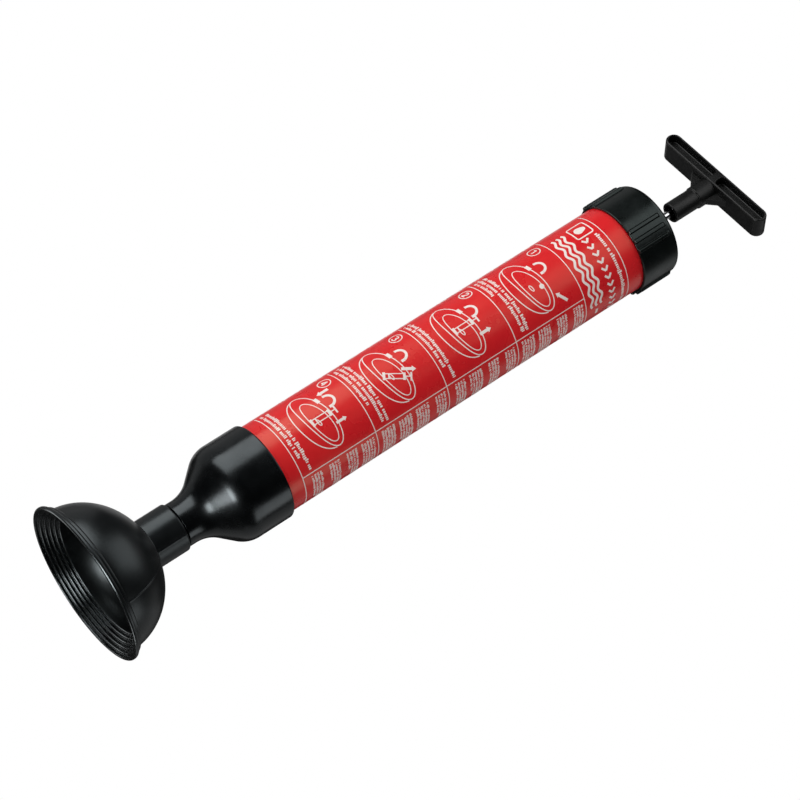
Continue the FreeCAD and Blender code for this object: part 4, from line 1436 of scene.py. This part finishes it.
@dataclass
class RodGland:
    """What the rod passes through on top of the cap: guide, wiper and retainer."""

    hub_radius: float = 9.5
    pocket: float = 7.0
    rod_radius: float = 3.0
    rod_hole: float = 3.4
    bush_hole: float = 5.6
    skirt: float = 31.45
    skirt_wall: float = 2.6
    flange_drop: float = 4.2
    web: float = 4.0
    vent_circle: float = 20.0
    vent_radius: float = 2.0
    dish_radius: float = 5.4

    def build(self) -> None:
        """Make the guide, the wiper and its retainer."""
        self.build_guide()
        self.build_wiper()
        self.build_retainer()

    def build_guide(self) -> None:
        """Guide: skirt, flange, web and hub, with four air holes."""
        foot, top = low("rod_guide"), high("rod_guide")
        flange, gasket = reach("rod_guide"), high("guide_gasket")
        floor, seat = low("rod_wiper_seal"), high("rod_bush")
        hub_foot = low("bush_retaining_ring") - 2
        upper = high("screw_cap") - self.flange_drop
        lower = upper - self.web
        inner = self.skirt - self.skirt_wall
        outline = rounded([
            (self.bush_hole, hub_foot, 0.3), (self.hub_radius, hub_foot, 0.6),
            (self.hub_radius, lower, 1.0), (inner, lower, 1.0), (inner, foot, 0.4),
            (self.skirt, foot, 0.5), (self.skirt, gasket, 0.1), (flange, gasket, 0.3),
            (flange, upper, 0.3), (self.hub_radius, upper, 0.4), (self.hub_radius, top, 1.0),
            (self.pocket, top, 0.4), (self.pocket, floor, 0.2), (self.rod_hole, floor, 0.2),
            (self.rod_hole, seat, 0.2), (self.bush_hole, seat, 0.1)], steps=5)
        piece = lathe("rod_guide_body", outline, 128)
        drill = np.array([(0, lower - 1), (self.vent_radius, lower - 1),
                          (self.vent_radius, upper + 1), (0, upper + 1)])
        drill_four(piece, drill, 24, self.vent_circle, 0.0)
        shade_by_angle(piece, 50)
        finish_piece(piece, "guide", "black_plastic", "rod_guide")

    def build_wiper(self) -> None:
        """Rubber wiper with a lip that leans on the rod."""
        foot, top = low("rod_wiper_seal"), high("rod_wiper_seal")
        outer, lip = reach("rod_wiper_seal"), self.rod_radius + 0.05
        outline = rounded([(lip + 0.8, foot, 0.2), (outer, foot, 0.3), (outer, top, 0.3),
                           (lip, top, 0.15), (lip, top - 0.8, 0.15), (lip + 0.8, top - 1.6, 0.3)],
                          steps=4)
        piece = lathe("rod_wiper_seal_body", outline, 72)
        finish_piece(piece, "guide", "seal_rubber", "rod_wiper_seal")

    def build_retainer(self) -> None:
        """Pressed ring above the wiper, dished towards the rod."""
        foot, top = low("wiper_retainer"), high("wiper_retainer")
        outer, inner = reach("wiper_retainer"), self.rod_radius + 0.5
        outline = rounded([(inner, foot, 0.2), (outer, foot, 0.2), (outer, top, 0.4),
                           (self.dish_radius, top, 0.3), (inner, top - 1.0, 0.25)], steps=4)
        piece = lathe("wiper_retainer_body", outline, 96)
        finish_piece(piece, "guide", "black_plastic", "wiper_retainer")


@dataclass
class PistonRod:
    """Bright rod with bevelled ends, a ring groove and rolled thread under both nuts."""

    bevel: float = 0.6
    groove_depth: float = 0.4
    groove_edge: float = 0.08
    thread_pitch: float = 1.0
    thread_depth: float = 0.28
    thread_step: float = 0.2
    bare_rows: int = 24
    sides: int = 40

    def build(self) -> None:
        """Make the rod and put it on its body."""
        radius = reach("piston_rod")
        foot, top = low("piston_rod"), high("piston_rod")
        ring_low, ring_high = low("piston_retaining_ring"), high("piston_retaining_ring")
        groove, edge, tip = radius - self.groove_depth, self.groove_edge, radius - self.bevel
        lower_end = high("piston_lock_nut") + 0.5
        upper_start = low("handle_lock_nut") - 1.0
        below = np.arange(foot + self.bevel, lower_end, self.thread_step)
        above = np.arange(upper_start, top - self.bevel, self.thread_step)
        middle = rounded([(radius, lower_end + 1), (radius, ring_low, edge),
                          (groove, ring_low, edge), (groove, ring_high, edge),
                          (radius, ring_high, edge), (radius, upper_start - 1)], False, 3)
        bare = np.linspace(ring_high + 2, upper_start - 1.5, self.bare_rows)
        outline = np.vstack([[[0, foot], [tip, foot]], upright(radius, below), middle[:-1],
                             upright(radius, bare), upright(radius, above),
                             [[tip, top], [0, top]]])
        angles = round_angles(self.sides)
        cut = np.zeros(len(outline), bool)
        cut[2:2 + len(below)] = True
        cut[-2 - len(above):-2] = True
        phase = outline[:, 1:] / self.thread_pitch - angles / TURN
        valley = np.abs(phase - np.round(phase)) * 2
        radii = outline[:, :1] - self.thread_depth * valley * cut[:, None]
        piece = lathe("piston_rod_body", outline, angles, radii, closed=False)
        finish_piece(piece, "rod", "rod_steel", "piston_rod")


# ---- T-handle ------------------------------------------------------------------------------------

@dataclass
class THandle:
    """T-handle: a bar with round ends and two pockets on each face, gussets and a hollow stem."""

    bar_height: float = 13.0
    edge: float = 1.25
    rim: float = 1.7
    rim_edge: float = 0.35
    web_half: float = 2.5
    draft: float = 0.3
    floor_curve: float = 0.9
    rib_half: float = 3.0
    pocket_corner: float = 3.0
    stem_radius: float = 8.15
    boss_radius: float = 8.95
    boss_length: float = 16.0
    hollow_radius: float = 6.2
    hollow_depth: float = 14.0
    bore_radius: float = 3.05
    bore_depth: float = 32.0
    gusset_reach: float = 11.4
    gusset_half: float = 2.8

    def __post_init__(self) -> None:
        """Read the handle's place from the frame."""
        self.foot = low("t_handle")
        self.bar_foot = high("t_handle") - self.bar_height
        self.middle = high("t_handle") - self.bar_height / 2
        self.half_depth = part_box("t_handle")[1].y / MM
        self.radius = self.bar_height / 2
        self.straight = reach("t_handle") - self.radius

    def slab(self, name: str, loop: Array, levels: Array) -> Piece:
        """Carry a closed loop of (x, z) along Y.

        At each level a point is the loop's point less its mitre times the level's inset, at the
        level's depth. The mitre is the sum of the two sides' outward normals over one plus their
        dot product, which keeps every side parallel. Flat faces close the first and last level.

        Args:
            name: The mesh's name.
            loop: The loop, anticlockwise as seen from the front.
            levels: Rows of inset and depth.

        Returns:
            The closed mesh.
        """
        ahead = np.roll(loop, -1, axis=0) - loop
        ahead /= np.linalg.norm(ahead, axis=1, keepdims=True)
        after = np.stack([ahead[:, 1], -ahead[:, 0]], axis=1)
        before = np.roll(after, 1, axis=0)
        mitre = (after + before) / (1 + (after * before).sum(axis=1, keepdims=True))
        inset, depth = levels[:, :1], levels[:, 1:]
        x = loop[:, 0] - mitre[:, 0] * inset
        z = loop[:, 1] - mitre[:, 1] * inset
        points = np.stack([x, depth + 0 * x, z], axis=-1).reshape(-1, 3)
        side = np.arange(len(loop))
        ends = [side[::-1][None], (side + (len(levels) - 1) * len(loop))[None]]
        return new_piece(name, points, [grid_faces(len(levels), len(loop), False, True)] + ends)

    def bar(self) -> Piece:
        """The bar without its pockets: two half circles joined by straights, with round edges.

        Returns:
            The closed mesh.
        """
        along = np.linspace(-self.straight, self.straight, 25)[1:-1]
        ends = (self.radius, self.radius)
        loop = np.vstack([
            arc((self.straight, self.middle), ends, -90, 90, 41),
            np.stack([along[::-1], 0 * along + self.middle + self.radius], axis=1),
            arc((-self.straight, self.middle), ends, 90, 270, 41),
            np.stack([along, 0 * along + self.middle - self.radius], axis=1)])
        depth = self.half_depth
        levels = inner_run([(2.4, -depth), (0, -depth, self.edge), (0, depth, self.edge),
                            (2.4, depth)])
        return self.slab("t_handle_body", loop, levels)

    def pocket(self, side: int, face: int) -> Piece:
        """Cutter for one pocket: round ends and corners, and walls that curve to the floor.

        Args:
            side: 1 for the pocket at +X, -1 for the one at -X.
            face: 1 for the back, -1 for the front.

        Returns:
            The cutter.
        """
        half = self.radius - self.rim
        upper, lower = self.middle + half, self.middle - half
        loop = np.vstack([
            arc((self.straight, self.middle), (half, half), -90, 90, 33),
            inner_run([(self.straight, upper), (self.rib_half, upper, self.pocket_corner),
                       (self.rib_half, lower, self.pocket_corner), (self.straight, lower)], 9)])
        if side < 0:
            loop = loop[::-1] * np.array([-1, 1])
        lip_foot = self.half_depth - self.rim_edge
        floor = inner_run([(2.6, self.web_half), (self.draft, self.web_half, self.floor_curve),
                           (0, lip_foot)])
        lip = arc((-self.rim_edge, lip_foot), (self.rim_edge, self.rim_edge), 0, 84, 6)
        levels = np.vstack([floor, lip, [[lip[-1, 0], self.half_depth + 1.0]]])
        return self.slab("pocket", loop, levels * np.array([1, face]))

    def gusset(self) -> Piece:
        """Thin web whose slopes run at 45 degrees from inside the stem to inside the bar.

        Returns:
            The closed mesh.
        """
        sunk = self.rim / 2
        out = self.stem_radius + self.gusset_reach + sunk
        into = self.stem_radius - sunk
        top = self.bar_foot + sunk
        foot = self.bar_foot - self.gusset_reach - sunk
        loop = np.array([(-into, foot), (into, foot), (out, top), (-out, top)])
        half = self.gusset_half
        levels = inner_run([(1.4, -half), (0, -half, 0.5), (0, half, 0.5), (1.4, half)], 5)
        return self.slab("gusset", loop, levels)

    def stem(self) -> Piece:
        """Stem with a rounded end, and a thicker boss below the bar.

        Returns:
            The closed mesh.
        """
        boss_foot = self.bar_foot - self.boss_length
        step = self.boss_radius - self.stem_radius
        inside = self.bar_foot + self.rim / 2
        return lathe("stem", rounded([
            (0, self.foot), (self.stem_radius, self.foot, 0.9), (self.stem_radius, boss_foot, 0.8),
            (self.boss_radius, boss_foot + step, 0.8), (self.boss_radius, inside, 0.2),
            (0, inside)]), 96)

    def hollow(self) -> Piece:
        """Cutter for the wide mouth round rod and nut, and for the rod's bore above it.

        Returns:
            The cutter.
        """
        ceiling, end = self.foot + self.hollow_depth, self.foot + self.bore_depth
        flare = self.hollow_radius + 0.35
        return lathe("hollow", rounded([
            (0, self.foot - 1), (flare, self.foot - 1), (flare, self.foot - 0.05),
            (self.hollow_radius, self.foot + 0.35, 0.3), (self.hollow_radius, ceiling, 0.6),
            (self.bore_radius, ceiling, 0.3), (self.bore_radius, end), (0, end)], steps=5), 96)

    def build(self) -> None:
        """Make the handle and put it on the rod."""
        piece = self.bar()
        combine(piece, self.gusset(), "UNION")
        combine(piece, self.stem(), "UNION")
        combine(piece, self.hollow(), "DIFFERENCE")
        for side in (1, -1):
            for face in (1, -1):
                combine(piece, self.pocket(side, face), "DIFFERENCE")
        shade_by_angle(piece, 32)
        finish_piece(piece, "rod", "handle_plastic", "t_handle")


# ---- Stage ---------------------------------------------------------------------------------------

@dataclass(frozen=True)
class Viewpoint:
    """Where the camera stands, in metres, and how it is turned."""

    eye: Triple = (0.9721, -1.6648, -0.5064)
    forward: Triple = (-0.463587, 0.802956, 0.374630)
    right: Triple = (0.623150, -0.005118, 0.782090)
    lens: float = 128.92
    sensor: float = 36.0

    def build(self) -> None:
        """Make the camera and use it."""
        camera = bpy.data.cameras.new("camera")
        camera.lens, camera.sensor_width = self.lens, self.sensor
        camera.clip_start, camera.clip_end = 0.05, 30.0
        holder = bpy.data.objects.new("camera", camera)
        back = -Vector(self.forward).normalized()
        side = Vector(self.right)
        side = (side - back * side.dot(back)).normalized()
        turn = Matrix((side, back.cross(side), back)).transposed()
        holder.matrix_world = Matrix.Translation(Vector(self.eye)) @ turn.to_4x4()
        bpy.context.scene.collection.objects.link(holder)
        bpy.context.scene.camera = holder


@dataclass(frozen=True)
class SoftLight:
    """A rectangular soft lamp that faces the pump from an angle round the axis.

    Args:
        name: Its name.
        angle: Angle round the axis, in degrees.
        away: Distance from the axis, in metres.
        height: Height, in metres.
        size: Width and height of the lamp, in metres.
        power: Power, in watts.
        aim: Height on the axis that it faces, in metres.
        fills: Whether it lights surfaces; one that doesn't only shows as a gloss.
    """

    name: str
    angle: float
    away: float
    height: float
    size: Point
    power: float
    aim: float = 0.3
    fills: bool = True

    def build(self) -> None:
        """Make the lamp, turned towards a point on the axis."""
        lamp = bpy.data.lights.new(self.name, "AREA")
        lamp.shape = "RECTANGLE"
        lamp.size, lamp.size_y = self.size
        lamp.energy = self.power
        holder = bpy.data.objects.new(self.name, lamp)
        turn = math.radians(self.angle)
        place = Vector((self.away * math.cos(turn), self.away * math.sin(turn), self.height))
        holder.location = place
        facing = (Vector((0, 0, self.aim)) - place).to_track_quat("-Z", "Y")
        holder.rotation_euler = facing.to_euler()
        holder.visible_diffuse = self.fills
        bpy.context.scene.collection.objects.link(holder)


LIGHTS = (
    SoftLight("left_softbox", -121.0, 1.3, 0.22, (1.12, 1.1), 12.5),
    SoftLight("right_softbox", 17.0, 1.0, 0.38, (0.46, 0.5), 1.15),
    SoftLight("right_kicker", 52.0, 0.9, 1.0, (0.5, 0.5), 0.2),
    SoftLight("top_softbox", -70.0, 0.79, 1.26, (1.05, 1.15), 5.6, 0.05),
    SoftLight("low_softbox", -51.0, 0.68, -0.76, (0.48, 0.36), 7.4, 0.11, False),
    SoftLight("under_front", -48.0, 0.2, -0.95, (0.45, 0.4), 5.0, 0.02, False),
    SoftLight("under_right", 78.0, 0.75, -0.66, (0.5, 0.3), 0.95, 0.02, False),
    SoftLight("under_back", 153.0, 1.6, -1.2, (1.2, 0.9), 6.0, 0.02, False),
    SoftLight("back_left_wall", -175.0, 1.9, 0.35, (1.5, 2.8), 3.9),
    SoftLight("back_wall", 134.0, 1.9, 1.0, (1.2, 1.7), 3.3),
    SoftLight("back_right_wall", 64.0, 1.9, 0.35, (1.6, 2.6), 3.4),
)


@dataclass(frozen=True)
class Stage:
    """The floor, the world and the lamps."""

    floor_radius: float = 5000.0
    floor_drop: float = 0.02
    floor_sides: int = 128
    floor_glow: float = 0.7
    fill: float = 0.12
    glossy_fill: float = 0.02

    def build(self) -> None:
        """Make the floor, the world and every lamp."""
        self.build_floor()
        self.build_world()
        for light in LIGHTS:
            light.build()

    def build_floor(self) -> None:
        """A wide pale disc that is clear from below and to shadow and glossy rays."""
        angles = round_angles(self.floor_sides)
        rim = np.stack([self.floor_radius * np.cos(angles), self.floor_radius * np.sin(angles),
                        0 * angles - self.floor_drop], axis=1)
        floor = new_piece("floor", rim, [np.arange(self.floor_sides)[None]], closed=False)
        surface = Surface("floor_paper", Roughness=0.6, Specular_IOR_Level=0.2)
        paper = surface.mix(surface.noise(3.0, 3.0), (0.80, 0.80, 0.80), (0.84, 0.84, 0.84))
        surface.feed(paper, surface.inputs["Base Color"])
        rays = surface.add("ShaderNodeLightPath").outputs
        behind = surface.add("ShaderNodeNewGeometry").outputs["Backfacing"]
        lamps = surface.maths("MAXIMUM", rays["Is Shadow Ray"], rays["Is Glossy Ray"])
        clear = surface.maths("MAXIMUM", lamps, behind)
        glow = surface.maths("MULTIPLY", rays["Is Camera Ray"], self.floor_glow)
        shown = surface.tree.nodes["Principled BSDF"].outputs["BSDF"]
        for share, kind in ((glow, "ShaderNodeEmission"), (clear, "ShaderNodeBsdfTransparent")):
            choice = surface.add("ShaderNodeMixShader")
            for item, target in zip((share, shown, surface.add(kind).outputs[0]), choice.inputs):
                surface.feed(item, target)
            shown = choice.outputs["Shader"]
        surface.feed(shown, surface.tree.nodes["Material Output"].inputs["Surface"])
        floor.data.materials.append(surface.material)

    def build_world(self) -> None:
        """White where the camera looks, dimmer for the light it gives and for reflections."""
        world = bpy.data.worlds.new("studio")
        bpy.context.scene.world = world
        world.use_nodes = True
        tree = Tree(world.node_tree)
        background = world.node_tree.nodes["Background"].inputs
        rays = tree.add("ShaderNodeLightPath").outputs
        seen = tree.maths("ADD", rays["Is Camera Ray"], rays["Is Transmission Ray"])
        lit = tree.maths("ADD", tree.maths("MULTIPLY", seen, 1.0 - self.fill), self.fill)
        glossy = tree.maths("MULTIPLY", rays["Is Glossy Ray"], self.fill - self.glossy_fill)
        tree.feed(tree.maths("SUBTRACT", lit, glossy), background["Strength"])
        background["Color"].default_value = (1, 1, 1, 1)


# ---- Everything together -------------------------------------------------------------------------


def main() -> None:
    """Build the camera, the stage and every sub-assembly."""
    logging.basicConfig(level=logging.INFO, format="%(name)s %(message)s")
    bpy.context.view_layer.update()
    bpy.context.scene.view_settings.view_transform = "Standard"
    build_groups()
    Viewpoint().build()
    Stage().build()
    dress_frame()
    for assembly in (SuctionCup, NozzleFunnel, PrintedSleeve, LabelPrint, ScrewCap, RodGland,
                     PistonRod, THandle):
        assembly().build()


if __name__ == "__main__":
    main()
